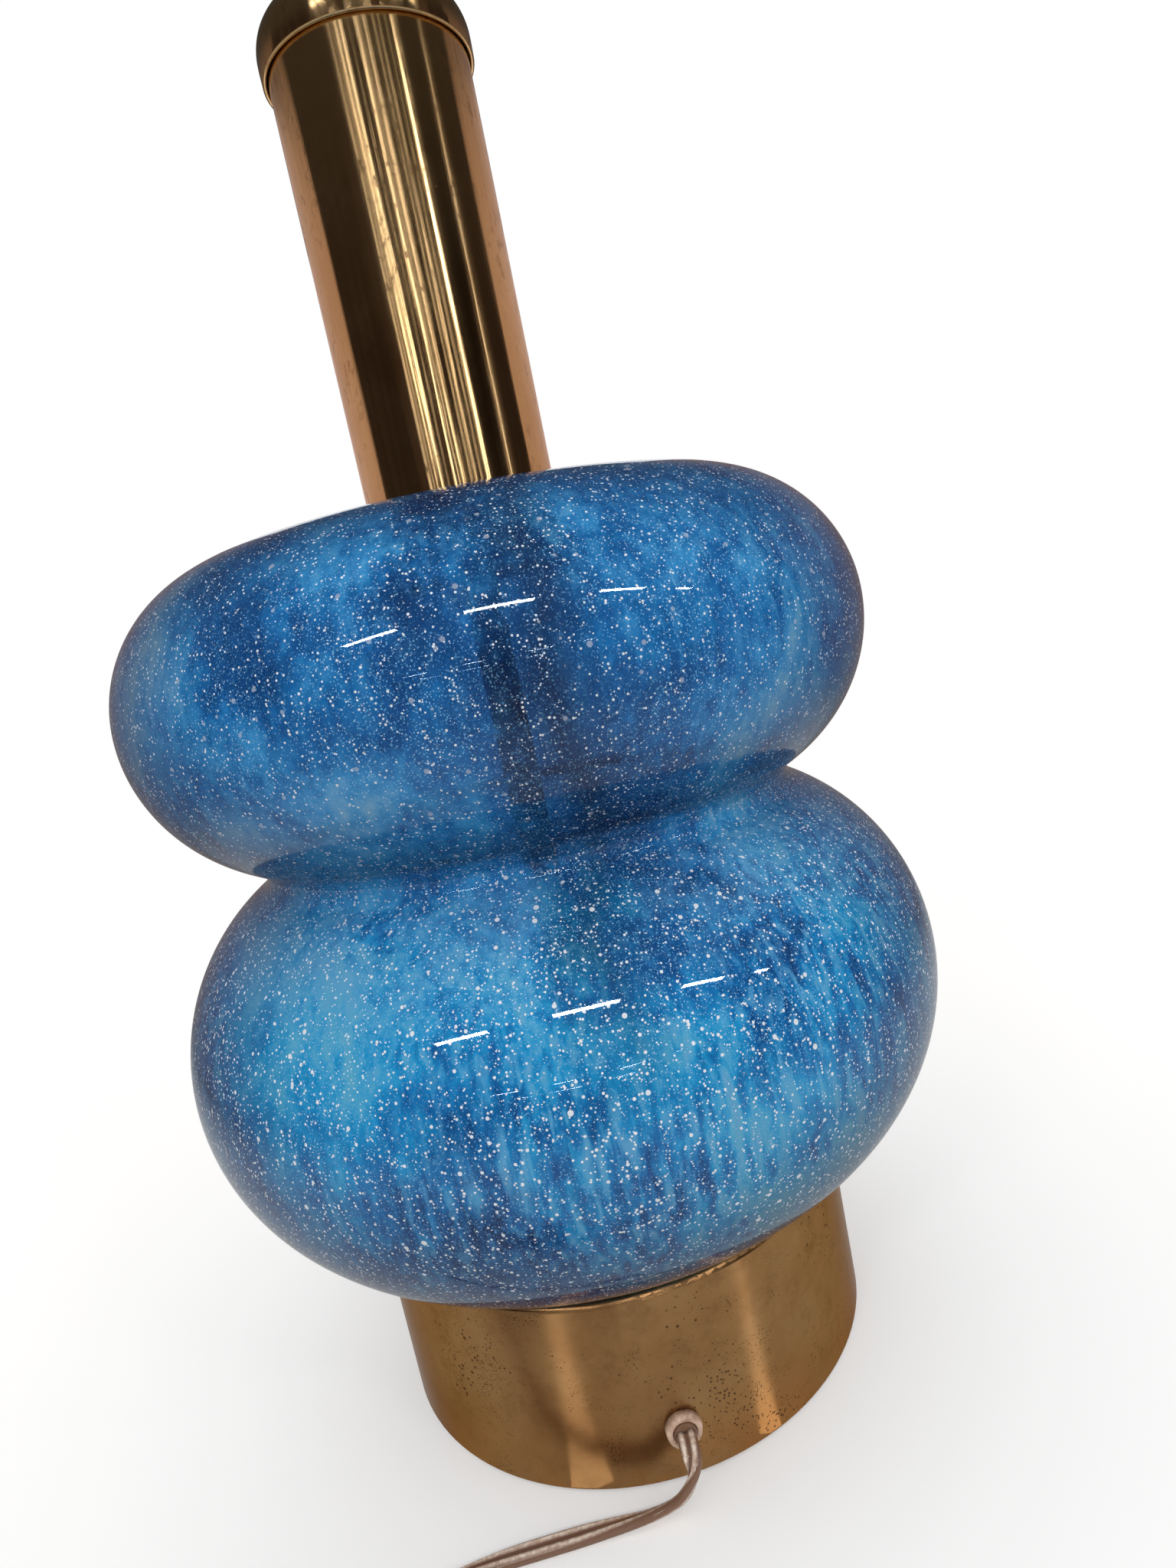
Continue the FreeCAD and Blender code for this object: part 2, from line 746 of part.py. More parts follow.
def cord():
    """Flat twin cord: its free stretches, its coil with a tie, and the lengths inside the lamp."""
    radius = dim.cord_width.value / 2
    start = exit_point(dim.base_radius + 0.02 + dim.bushing_head_depth)
    free = [
        start,
        exit_point(78.0),
        Vector(3.6, -82.0, 10.2),
        Vector(-2.0, -82.6, 4.9),
        Vector(-10.5, -81.0, radius),
        Vector(-24.0, -79.4, radius),
        Vector(-42.0, -79.0, radius),
        Vector(-61.0, -82.0, 3.1),
        Vector(-78.5, coil_start.y, coil_low),
        coil_start + coil_lead,
    ]
    total = tube("cord_run", free, radius)

    arcs = coil_arcs()
    end = arcs[-1][2] + coil_lead
    gap, length = least_self_gap(arcs)
    length += 2 * coil_lead.Length
    total += length
    across, tall = dim.cord_thickness.value, dim.cord_width.value
    # The climbing half turn rolls the cord over a little, so each layer leans by half of that.
    climb_round = coil_outer.value - coil_turns_each_way * dim.coil_pitch.value
    roll = math.pi * math.sin(math.atan2(coil_high - coil_low, math.pi * climb_round))
    section = twin_section(coil_start + coil_lead, Vector(-1, 0, 0), across, tall, roll / 2)
    spine = Part.Wire([
        Part.LineSegment(coil_start + coil_lead, coil_start).toShape(),
        *[Part.Arc(*arc).toShape() for arc in arcs],
        Part.LineSegment(arcs[-1][2], end).toShape(),
    ])
    shape = spine.makePipeShell([section], True, False)
    area = Part.Face(section).Area
    print(f"cord_coil: {length:.1f} mm, least gap to itself {gap:.2f} mm,",
          f"volume ratio {shape.Volume / (area * length):.4f}")
    if gap < 0.35:
        raise ValueError("the coil touches itself")
    solid("cord_coil", shape)

    plug_middle = dim.plug_height.value / 2 + 0.1
    tail = [
        end,
        end + Vector(12.5, 0.0, 0.0),
        end + Vector(25.5, 2.2, plug_middle - coil_high),
        end + Vector(38.0, 4.8, plug_middle - coil_high),
    ]
    total += tube("cord_tail", tail, radius)
    print(f"cord outside the lamp: {total:.0f} mm")

    inside = [
        start,
        exit_point(55.0),
        Vector(2.7, -41.0, 11.6),
        Vector(1.6, -25.5, 7.4),
        Vector(0.75, -11.35, 6.35),
        Vector(0.3, -4.15, 10.45),
        Vector(0.0, 0.0, 17.65),
        Vector(0.0, 0.0, cord_end.value),
    ]
    tube("cord_inner", inside, radius)
    return tail


def tie():
    """A band round the coil's bundle, on the side of its middle that faces +X."""
    thick, clear = dim.tie_thickness.value, dim.tie_clear.value
    half_wide, half_cord = dim.tie_width.value / 2, dim.cord_thickness.value / 2
    pitch = dim.coil_pitch.value
    drift = half_wide + pitch / 2
    outermost = coil_outer.value - pitch / 2
    innermost = outermost - 3 * pitch
    far = outermost + half_cord + clear + thick
    near = math.sqrt((innermost - half_cord) ** 2 - drift ** 2) - clear - thick
    wide, tall = far - near, coil_high + dim.cord_width.value / 2 + clear + thick
    corner = Vector(near, -half_wide, 0)
    outer = Part.makeBox(wide, 2 * half_wide, tall, corner)
    hole = Part.makeBox(wide - 2 * thick, 2 * half_wide + 2, tall - 2 * thick,
                        corner + Vector(thick, -1, thick))
    long_edges = [e for e in outer.Edges if abs(e.tangentAt(e.FirstParameter).y) > 0.9]
    hole_edges = [e for e in hole.Edges if abs(e.tangentAt(e.FirstParameter).y) > 0.9]
    band = outer.makeFillet(thick + 0.8, long_edges).cut(hole.makeFillet(0.8, hole_edges))
    obj = solid("coil_tie", band)
    obj.Placement = Placement(coil_middle, Rotation())


def plug(tail):
    """Moulded plug that narrows to its cord, with finger grooves and two flat blades."""
    end = tail[-1]
    way = (tail[-1] - tail[-2]).normalize()
    turn = Rotation(Vector(1, 0, 0), way)
    body = doc.addObject("PartDesign::Body", "plug_body")
    faces = (("nose", dim.plug_nose_width, dim.plug_nose_height, 0),
             ("grip", dim.plug_width, dim.plug_height, dim.plug_length * 0.45),
             ("face", dim.plug_width, dim.plug_height, dim.plug_length))
    sketches = []
    for name, wide, tall, along in faces:
        sketch = on_plane(body, "YZ_Plane", f"plug_{name}")
        sketch.setExpression("AttachmentOffset.Base.z", text_of(along))
        half_w, half_t, corner = wide / 2, tall / 2, dim.plug_edge
        draw(sketch, [
            (corner - half_w, -half_t),
            (half_w - corner, -half_t, corner, 1),
            (half_w, corner - half_t),
            (half_w, half_t - corner, corner, 1),
            (half_w - corner, half_t),
            (corner - half_w, half_t, corner, 1),
            (-half_w, half_t - corner),
            (-half_w, corner - half_t, corner, 1),
        ])
        sketches.append(sketch)
    loft = body.newObject("PartDesign::AdditiveLoft", "plug_loft")
    loft.Profile = (sketches[0], [""])
    loft.Sections = [(sketches[1], [""]), (sketches[2], [""])]
    loft.Ruled = True
    grooves = on_plane(body, "XY_Plane", "plug_grooves")
    half_w = dim.plug_width / 2
    for k in range(4):
        at = dim.plug_length * 0.5 + 2.6 * k
        draw(grooves, rectangle(at, at + 1.3, half_w - 1.0, half_w + 2))
        draw(grooves, rectangle(at, at + 1.3, -half_w - 2, -half_w + 1.0))
    pocket(body, grooves, dim.plug_height * 2, "plug_groove_cut", midplane=True)
    body.Placement = Placement(end, turn)
    keep(body, "plug_body")

    blades = []
    for side in (-1, 1):
        blade = Part.makeBox(dim.blade_length.value, dim.blade_thickness.value, dim.blade_width.value,
                             Vector(dim.plug_length.value,
                                    side * dim.blade_spacing.value / 2 - dim.blade_thickness.value / 2,
                                    -dim.blade_width.value / 2))
        tip = [e for e in blade.Edges
               if min(v.Point.x for v in e.Vertexes) > dim.plug_length.value + 1
               and abs(e.tangentAt(e.FirstParameter).z) > 0.9]
        blades.append(blade.makeChamfer(0.5, tip))
    pair = solid("plug_blades", Part.makeCompound(blades))
    pair.Placement = Placement(end, turn)


# The harp stands on the saddle's shoulders.
shoulder_z = saddle_z + dim.saddle_shoulder
foot_top = shoulder_z + dim.harp_foot_height
leg_top = shoulder_z + dim.harp_leg
flare = dim.harp_flare_angle
flare_x = dim.harp_half_width + dim.harp_flare_round * (1 - cosine(flare))
flare_z = leg_top + dim.harp_flare_round * sine(flare)
bow_z = flare_z + dim.harp_side_round * sine(flare) * 2
crown_round = flare_x / cosine(flare)
crown_z = bow_z + crown_round * (1 - sine(flare))
pad_z = crown_z + dim.harp_wire_radius - dim.harp_flat_depth


def saddle():
    """Strip bent up at both ends, each end narrowed to a tongue above its shoulders."""
    thick, half = dim.saddle_thickness, dim.harp_half_width
    outer, inner = half + thick / 2, half - thick / 2
    top = shoulder_z + dim.tongue_height
    bend, inner_bend = dim.saddle_bend, dim.saddle_bend - thick
    body = doc.addObject("PartDesign::Body", "harp_saddle")
    profile = draw(on_plane(body, "XZ_Plane", "saddle_profile"), [
        (bend - outer, saddle_z),
        (outer - bend, saddle_z, bend, 1),
        (outer, saddle_z + bend),
        (outer, top),
        (inner, top),
        (inner, saddle_z + bend, inner_bend, -1),
        (inner - inner_bend, saddle_z + thick),
        (inner_bend - inner, saddle_z + thick, inner_bend, -1),
        (-inner, saddle_z + bend),
        (-inner, top),
        (-outer, top),
        (-outer, saddle_z + bend, bend, 1),
    ])
    pad(body, profile, dim.saddle_width, "saddle_strip", midplane=True)
    sides = on_plane(body, "YZ_Plane", "tongue_sides")
    edge, reach = dim.tongue_width / 2, dim.saddle_width
    draw(sides, rectangle(edge, reach, shoulder_z, top + 1))
    draw(sides, rectangle(-reach, -edge, shoulder_z, top + 1))
    pocket(body, sides, 2 * outer + 2, "tongue_cut", midplane=True)
    hole = on_plane(body, "XY_Plane", "saddle_hole")
    round_hole(hole, 0, 0, pipe_hole)
    hole.setExpression("AttachmentOffset.Base.z", text_of(saddle_z - 1))
    pocket(body, hole, thick + 2, "saddle_hole_cut", reverse=True)
    keep(body, "harp_saddle")


def harp():
    """Wire hoop with slotted feet that drop over the tongues, and a flat on top for its stud."""
    half, wire = dim.harp_half_width, dim.harp_wire_radius
    body = doc.addObject("PartDesign::Body", "harp")
    start = foot_top - 2
    spine = on_plane(body, "XZ_Plane", "harp_route")
    draw(spine, [
        (half, start),
        (half, leg_top, dim.harp_flare_round, -1),
        (flare_x, flare_z, dim.harp_side_round, 1),
        (flare_x, bow_z, crown_round, 1),
        (-flare_x, bow_z, dim.harp_side_round, 1),
        (-flare_x, flare_z, dim.harp_flare_round, -1),
        (-half, leg_top),
        (-half, start),
    ], closed=False)
    section = on_plane(body, "XY_Plane", "harp_section")
    section.setExpression("AttachmentOffset.Base.z", text_of(start))
    round_hole(section, half, 0, wire)
    hoop = body.newObject("PartDesign::AdditivePipe", "harp_hoop")
    hoop.Profile = (section, [""])
    hoop.Spine = (spine, [f"Edge{k + 1}" for k in range(7)])
    feet = on_plane(body, "XY_Plane", "harp_feet")
    feet.setExpression("AttachmentOffset.Base.z", text_of(shoulder_z + 0.1))
    round_hole(feet, half, 0, dim.harp_foot_radius)
    round_hole(feet, -half, 0, dim.harp_foot_radius)
    pad(body, feet, dim.harp_foot_height - 0.1, "harp_feet_pad")
    slots = on_plane(body, "XZ_Plane", "harp_slots")
    slot = dim.saddle_thickness / 2 + dim.harp_slot_fit
    draw(slots, rectangle(half - slot, half + slot, shoulder_z - 1, shoulder_z + dim.tongue_height + 0.5))
    draw(slots, rectangle(-half - slot, -half + slot, shoulder_z - 1, shoulder_z + dim.tongue_height + 0.5))
    pocket(body, slots, dim.tongue_width + 2 * dim.harp_slot_fit, "harp_slot_cut", midplane=True)
    flat = on_plane(body, "XZ_Plane", "harp_flat")
    reach = dim.harp_flat_half
    draw(flat, rectangle(-reach, reach, pad_z, pad_z + 6))
    pocket(body, flat, 4 * wire, "harp_flat_cut", midplane=True)
    keep(body, "harp")

    keep(fuse("harp_stud",
              cylinder("stud_pad", dim.stud_pad_radius, dim.stud_pad_thickness, z=pad_z),
              cylinder("stud_rod", dim.stud_radius, dim.stud_pad_thickness + dim.stud_length, z=pad_z)),
         "harp_stud")


def ferrules():
    """A sleeve on each leg, wide below to grip the foot and narrow above to ride on the wire."""
    for name, side in (("ferrule_left", -1), ("ferrule_right", 1)):
        wide = dim.harp_foot_radius + dim.ferrule_fit
        narrow = dim.harp_wire_radius + dim.ferrule_fit
        low = shoulder_z + 0.15
        rest = foot_top + 0.05
        neck = rest + (wide - narrow)
        top = low + dim.ferrule_length
        body = turned(name, [
            (wide, low),
            (wide + dim.ferrule_wall, low),
            (wide + dim.ferrule_wall, rest - 1),
            (narrow + dim.ferrule_wall, top),
            (narrow, top),
            (narrow, neck),
            (wide, rest),
        ])
        body.setExpression("Placement.Base.x", text_of(side * dim.harp_half_width))
        keep(body, name)


def finial():
    """Turned brass: a foot, a waist, a ball and a small tip, bored for the stud."""
    foot = pad_z + dim.stud_pad_thickness + 0.05
    bore = dim.stud_radius + dim.thread_fit
    ball = dim.finial_radius
    waist_z = foot + dim.finial_height * 0.40
    ball_z = foot + dim.finial_height * 0.64
    tip_z = foot + dim.finial_height
    start_r = dim.finial_waist + 1.2
    start_z = ball_z - root(ball * ball - start_r * start_r)
    end_r = dim.finial_waist
    end_z = ball_z + root(ball * ball - end_r * end_r)
    tip_r, tip_rise = end_r * 0.8, end_r * 0.5
    tip_round = (tip_r * tip_r + tip_rise * tip_rise) / (2 * tip_rise)
    deep = foot + dim.stud_length + 1
    keep(turned("finial", [
        (bore, foot),
        (dim.finial_foot_radius, foot),
        (dim.finial_foot_radius, foot + 2.2),
        (bore + 1.6, foot + 3.4, dim.finial_height * 0.30, -1),
        (start_r, start_z, ball, 1),
        (end_r, end_z),
        (tip_r, tip_z - tip_rise, tip_round, 1),
        (0, tip_z),
        (0, deep),
        (bore, deep),
    ]), "finial")


# Heights in the socket.
cap_edge_z = socket_z + dim.socket_cap_height
shell_foot = cap_edge_z - 4
insulator_z = socket_z + 16.5
insulator_top = insulator_z + dim.insulator_height
recess_z = insulator_top - dim.recess_depth
stem_z = cap_edge_z + 5.5
liner_inside = dim.bulb_radius + dim.bulb_shell_wall + dim.bulb_shell_flange + dim.bulb_shell_gap
liner_outside = liner_inside + dim.liner_wall
shell_inside = liner_outside + dim.shell_fit
shell_outside = shell_inside + dim.socket_wall
socket_cap_radius = shell_outside + dim.shell_fit + dim.socket_wall
insulator_radius = liner_inside - dim.loose_fit
mouth_z = shell_foot + dim.shell_height


def notch(body, name, foot):
    """An open-ended notch in a socket shell, where the switch stem comes through on +Y."""
    half = dim.stem_radius + 1.4
    sketch = on_plane(body, "XZ_Plane", f"{name}_notch")
    draw(sketch, rectangle(-half, half, foot - 1, stem_z + half))
    pocket(body, sketch, 2 * socket_cap_radius, f"{name}_notch_cut")


def socket():
    """Spun cap, shell and liner round the moulded block that carries the bulb's screw shell."""
    cap_r, wall, hub, flare = socket_cap_radius, dim.socket_wall, dim.hub_radius, dim.socket_cap_flare
    hub_top = socket_z + dim.hub_height
    bell = cap_r - flare
    cap = turned("socket_cap", [
        (dim.pipe_radius + dim.thread_fit, socket_z),
        (hub, socket_z),
        (hub, hub_top),
        (bell, hub_top, flare, 1),
        (cap_r, hub_top + flare),
        (cap_r, cap_edge_z),
        (cap_r - wall, cap_edge_z),
        (cap_r - wall, hub_top + flare, flare - wall, -1),
        (bell, hub_top + wall),
        (dim.pipe_radius + dim.thread_fit, hub_top + wall),
    ])
    screw_hole = on_plane(cap, "XZ_Plane", "set_screw_hole")
    round_hole(screw_hole, 0, socket_z + dim.hub_height / 2, dim.set_screw_radius + dim.thread_fit)
    pocket(cap, screw_hole, dim.hub_radius + 2, "set_screw_hole_cut", reverse=True)
    keep(cap, "socket_cap")
    screw_length = dim.hub_radius - dim.pipe_radius + 1.5
    screw = cylinder("socket_set_screw", dim.set_screw_radius, screw_length,
                     y=-(dim.pipe_radius + 0.05), z=socket_z + dim.hub_height / 2)
    screw.Placement = Placement(screw.Placement.Base, Rotation(Vector(1, 0, 0), 90))
    keep(screw, "socket_set_screw")

    lip = dim.shell_lip
    shell = turned("socket_shell", [
        (shell_inside, shell_foot),
        (shell_outside, shell_foot),
        (shell_outside, mouth_z - lip, lip, 1),
        (shell_outside - lip, mouth_z),
        (shell_outside - lip, mouth_z - dim.socket_wall),
        (shell_inside, mouth_z - lip),
    ])
    notch(shell, "shell", shell_foot)
    keep(shell, "socket_shell")
    liner = turned("shell_liner",
                   rectangle(liner_inside, liner_outside, shell_foot + 0.5, mouth_z - lip - 0.3))
    notch(liner, "liner", shell_foot + 0.5)
    keep(liner, "shell_liner")

    block = turned("socket_insulator", [
        (0, insulator_z),
        (insulator_radius - 2, insulator_z),
        (insulator_radius, insulator_z + 2),
        (insulator_radius, insulator_top - 0.8),
        (insulator_radius - 0.8, insulator_top),
        (dim.insulator_recess, insulator_top),
        (dim.insulator_recess, recess_z),
        (0, recess_z),
    ])
    flats = on_plane(block, "XY_Plane", "insulator_flats")
    flats.setExpression("AttachmentOffset.Base.z", text_of(insulator_z - 1))
    reach = socket_cap_radius
    draw(flats, rectangle(dim.insulator_flat, reach, -reach, reach))
    draw(flats, rectangle(-reach, -dim.insulator_flat, -reach, reach))
    pocket(block, flats, dim.insulator_height * 0.62 + 1, "insulator_flat_cut", reverse=True)
    bore = on_plane(block, "XZ_Plane", "stem_bore")
    round_hole(bore, 0, stem_z, dim.stem_radius + 0.06)
    bore.setExpression("AttachmentOffset.Base.z", text_of(-(insulator_radius - dim.stem_bore)))
    pocket(block, bore, dim.stem_bore + 2, "stem_bore_cut")
    keep(block, "socket_insulator")

    bulb, skin = dim.bulb_radius, dim.bulb_shell_wall
    flange = dim.bulb_shell_flange
    keep(turned("screw_shell", [
        (bulb - 1.5, insulator_top),
        (bulb + skin + flange, insulator_top),
        (bulb + skin + flange, insulator_top + skin),
        (bulb + skin, insulator_top + skin),
        (bulb + skin, insulator_top + dim.bulb_shell_height),
        (bulb, insulator_top + dim.bulb_shell_height),
        (bulb, insulator_top + skin),
        (bulb - 1.5, insulator_top + skin),
    ]), "screw_shell")


def contact():
    """Spring tongue: a foot flat on the block, a slope and a raised end under the bulb's tip."""
    thick, width = dim.contact_thickness, dim.contact_width
    body = doc.addObject("PartDesign::Body", "centre_contact")
    z = recess_z
    outline = draw(on_plane(body, "XZ_Plane", "contact_outline"), [
        (Size(-8.0, "-8.0"), z),
        (Size(-3.0, "-3.0"), z),
        (Size(2.0, "2.0"), z + 4),
        (Size(5.0, "5.0"), z + 3.6),
        (Size(5.0, "5.0"), z + 3.6 + thick),
        (Size(1.8, "1.8"), z + 4 + thick),
        (Size(-3.2, "-3.2"), z + thick),
        (Size(-8.0, "-8.0"), z + thick),
    ])
    pad(body, outline, width, "contact_strip", midplane=True)
    keep(body, "centre_contact")


def terminals():
    """One screw on each flat of the block, and the split conductor that goes to it."""
    z = insulator_z + 5
    flat = dim.insulator_flat
    for name, side in (("live", 1), ("neutral", -1)):
        head = cylinder(f"terminal_screw_{name}", dim.terminal_radius, Size(1.8, "1.8"), x=side * flat, z=z)
        head.Placement = Placement(head.Placement.Base, Rotation(Vector(0, 1, 0), 90 * side))
        keep(head, f"terminal_screw_{name}")
        radius = dim.lead_radius.value
        start = Vector(side * (radius + 0.1), 0, cord_end.value)
        out = side * (flat.value + radius + 0.05)
        under = insulator_z.value - radius - 1.2
        tube(f"lead_{name}", [
            start,
            start + Vector(0, 0, 3.8),
            Vector(side * 6.8, -1.4, under - 0.3),
            Vector(out, -3.2, under),
            Vector(out, -4.0, z.value),
        ], radius)


def switch():
    """Turning stem in the block's bore, and the fluted knob on its outer end."""
    near = insulator_radius - dim.stem_bore + 0.3
    knob_near = socket_cap_radius + 2.5
    knob_far = knob_near + dim.knob_length
    stem = cylinder("switch_stem", dim.stem_radius, knob_near + 0.6 - near, y=near, z=stem_z)
    stem.Placement = Placement(stem.Placement.Base, Rotation(Vector(1, 0, 0), -90))
    keep(stem, "switch_stem")

    body = doc.addObject("PartDesign::Body", "switch_knob")
    outline = on_plane(body, "XZ_Plane", "knob_outline")
    r = dim.knob_radius
    hole = dim.stem_radius
    draw(outline, [
        (0, Size(0.6, "0.6")),
        (hole, Size(0.6, "0.6")),
        (hole, 0),
        (r * 0.78, 0),
        (r * 0.78, Size(1.6, "1.6")),
        (r, Size(2.4, "2.4")),
        (r * 0.9, dim.knob_length - 1.2, Size(1.2, "1.2"), 1),
        (r * 0.9 - 1.1, dim.knob_length),
        (0, dim.knob_length),
    ])
    turn = body.newObject("PartDesign::Revolution", "knob_turn")
    turn.Profile = (outline, [""])
    turn.ReferenceAxis = (outline, ["V_Axis"])
    turn.Angle = 360
    flute = on_plane(body, "XY_Plane", "knob_flute")
    flute.setExpression("AttachmentOffset.Base.z", "3.2")
    round_hole(flute, r + 0.25, 0, dim.knob_flute)
    groove = pocket(body, flute, dim.knob_length, "knob_flute_cut", reverse=True)
    doc.recompute()
    pattern = body.newObject("PartDesign::PolarPattern", "knob_flutes")
    pattern.Originals = [groove]
    pattern.Axis = (outline, ["V_Axis"])
    pattern.Angle = 360
    pattern.Occurrences = 12
    body.Tip = pattern
    body.Placement = Placement(Vector(0, knob_near.value, stem_z.value), Rotation(Vector(1, 0, 0), -90))
    keep(body, "switch_knob")
    return knob_far


base()
glass()
neck()
bushing()
tail_route = cord()
tie()
plug(tail_route)
saddle()
harp()
ferrules()
finial()
socket()
contact()
terminals()
switch()
doc.recompute()

# The harp, the socket and all that they carry are drawn with the harp's legs along X and the switch
# along +Y. The saddle and the socket's cap turn on the round pipe, so the group is set round as one.
TOP_GROUP = (
    "harp_saddle", "harp", "harp_stud", "ferrule_left", "ferrule_right", "finial",
    "socket_cap", "socket_set_screw", "socket_shell", "shell_liner", "socket_insulator",
    "screw_shell", "centre_contact", "terminal_screw_live", "terminal_screw_neutral",
    "lead_live", "lead_neutral", "switch_stem", "switch_knob",
)
set_round = Placement(Vector(0, 0, 0), Rotation(Vector(0, 0, 1), dim.top_turn.value))

for obj in doc.Objects:
    if "Invalid" in obj.State or "Error" in obj.State:
        raise ValueError(f"{obj.Label} failed: {obj.State}")
os.makedirs("parts", exist_ok=True)
for name, obj in parts.items():
    shape = obj.Shape.copy()
    if name in TOP_GROUP:
        shape.Placement = set_round.multiply(shape.Placement)
    if shape.isNull() or not shape.isValid() or shape.Volume <= 0:
        raise ValueError(f"{name} isn't a good solid")
    shape.exportStep(f"parts/{name}.step")
print(len(parts), "pieces")
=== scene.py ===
"""Glass table lamp: the looks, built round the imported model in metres."""
import math
import bpy
import numpy as np
from mathutils import Matrix, Vector


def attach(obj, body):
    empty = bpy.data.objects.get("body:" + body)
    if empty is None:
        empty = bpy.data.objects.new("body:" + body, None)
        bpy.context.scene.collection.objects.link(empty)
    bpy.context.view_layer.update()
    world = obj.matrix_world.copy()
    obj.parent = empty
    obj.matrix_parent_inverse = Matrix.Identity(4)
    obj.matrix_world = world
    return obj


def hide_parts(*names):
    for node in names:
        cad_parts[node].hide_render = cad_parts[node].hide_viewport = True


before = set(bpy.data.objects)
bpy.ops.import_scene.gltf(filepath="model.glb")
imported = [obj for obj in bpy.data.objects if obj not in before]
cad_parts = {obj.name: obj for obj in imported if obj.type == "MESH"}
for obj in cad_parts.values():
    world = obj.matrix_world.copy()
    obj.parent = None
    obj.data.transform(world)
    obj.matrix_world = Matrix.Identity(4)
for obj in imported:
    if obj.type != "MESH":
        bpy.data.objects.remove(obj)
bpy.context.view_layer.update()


# ---------------------------------------------------------------- base felt and board
# Wool felt, glued under a disc of pressed fibreboard that closes the can from below.
# Nobody sees them until the lamp is tipped over.


def finish(name, colour, roughness, metallic=0.0):
    """A material and its shader, with the values that are the same all over on its sockets."""
    material = bpy.data.materials.new(name)
    material.use_nodes = True
    shader = material.node_tree.nodes["Principled BSDF"]
    shader.inputs["Base Color"].default_value = (*colour, 1.0)
    shader.inputs["Roughness"].default_value = roughness
    shader.inputs["Metallic"].default_value = metallic
    return material, shader


def add(material, kind, inputs=None, **settings):
    """A node of that kind, with its settings. Each input gets a plain value or another node's output."""
    made = material.node_tree.nodes.new(kind)
    for setting, value in settings.items():
        setattr(made, setting, value)
    for socket, value in (inputs or {}).items():
        join(material, value, made.inputs[socket])
    return made


def join(material, value, socket):
    """A socket gets another node's output or a plain value."""
    if isinstance(value, bpy.types.NodeSocket):
        material.node_tree.links.new(value, socket)
    else:
        socket.default_value = value


def place(material, stretch=(1.0, 1.0, 1.0)):
    """Points of the piece in the lamp's own axes, drawn out along an axis where its share is small."""
    points = add(material, "ShaderNodeTexCoord").outputs["Object"]
    return add(material, "ShaderNodeMapping", {"Vector": points, "Scale": stretch}).outputs["Vector"]


def noise(material, scale, detail=3.0, stretch=(1.0, 1.0, 1.0), roughness=0.5, distortion=0.0):
    """Cloudy values about 0.5, scale clouds to the metre."""
    return add(material, "ShaderNodeTexNoise", {
        "Vector": place(material, stretch), "Scale": scale, "Detail": detail,
        "Roughness": roughness, "Distortion": distortion}).outputs["Fac"]


def span(material, value, low, high, to_low=0.0, to_high=1.0):
    """The value, moved from one span to another and held inside it."""
    return add(material, "ShaderNodeMapRange", {
        "Value": value, "From Min": low, "From Max": high,
        "To Min": to_low, "To Max": to_high}).outputs["Result"]


def maths(material, kind, first, *others):
    """One operation, taken over the values in turn."""
    for value in others or (0.0,):
        first = add(material, "ShaderNodeMath", {0: first, 1: value}, operation=kind).outputs[0]
    return first


def shades(material, value, *stops):
    """A colour for each value, blended between stops of (value, colour)."""
    ramp = add(material, "ShaderNodeValToRGB", {"Fac": value})
    bands = ramp.color_ramp.elements
    for element in list(bands)[1:]:
        bands.remove(element)
    for k, (at, colour) in enumerate(stops):
        band = bands[0] if k == 0 else bands.new(at)
        band.position = at
        band.color = (*colour, 1.0)
    return ramp.outputs["Color"]


def blended(material, share, first, second):
    """The first colour, and as much of the second as share says."""
    mix = add(material, "ShaderNodeMix", data_type="RGBA")
    join(material, share, mix.inputs[0])
    for index, colour in ((6, first), (7, second)):
        value = colour if isinstance(colour, bpy.types.NodeSocket) else (*colour, 1.0)
        join(material, value, mix.inputs[index])
    return mix.outputs[2]


def relief(material, shader, height, depth):
    """Small relief, depth metres from its lowest to its highest."""
    bump = add(material, "ShaderNodeBump", {"Height": height, "Distance": depth, "Strength": 1.0})
    join(material, bump.outputs["Normal"], shader.inputs["Normal"])


def dress(material, *names):
    """CAD pieces whose shape is right get their finish."""
    for name in names:
        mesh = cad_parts[name].data
        mesh.materials.clear()
        mesh.materials.append(material)


felt, shader = finish("wool_felt", (0.16, 0.15, 0.14), 0.95)
fibres = noise(felt, 900, 4, roughness=0.7)
tone = shades(felt, fibres, (0.3, (0.10, 0.095, 0.09)), (0.7, (0.22, 0.21, 0.19)))
join(felt, tone, shader.inputs["Base Color"])
relief(felt, shader, fibres, 0.0004)
dress(felt, "base_felt", "glass_seat_washer")

board, shader = finish("fibreboard", (0.30, 0.20, 0.12), 0.85)
flecks = noise(board, 420, 5, roughness=0.75)
tone = shades(board, flecks, (0.35, (0.20, 0.13, 0.08)), (0.65, (0.40, 0.28, 0.18)))
join(board, tone, shader.inputs["Base Color"])
relief(board, shader, flecks, 0.0002)
dress(board, "bottom_disc")


# ---------------------------------------------------------------- weight, washer, nut and pipe
# A cast-iron ring holds the lamp down. A zinc-plated nut on a threaded steel pipe draws
# the ring, the can, the glass and the neck together.

iron, shader = finish("cast_iron", (0.07, 0.068, 0.065), 0.7, 0.6)
grain = noise(iron, 500, 6, roughness=0.7)
tone = shades(iron, grain, (0.3, (0.04, 0.038, 0.036)), (0.75, (0.12, 0.10, 0.085)))
join(iron, tone, shader.inputs["Base Color"])
relief(iron, shader, grain, 0.0003)
dress(iron, "base_weight")

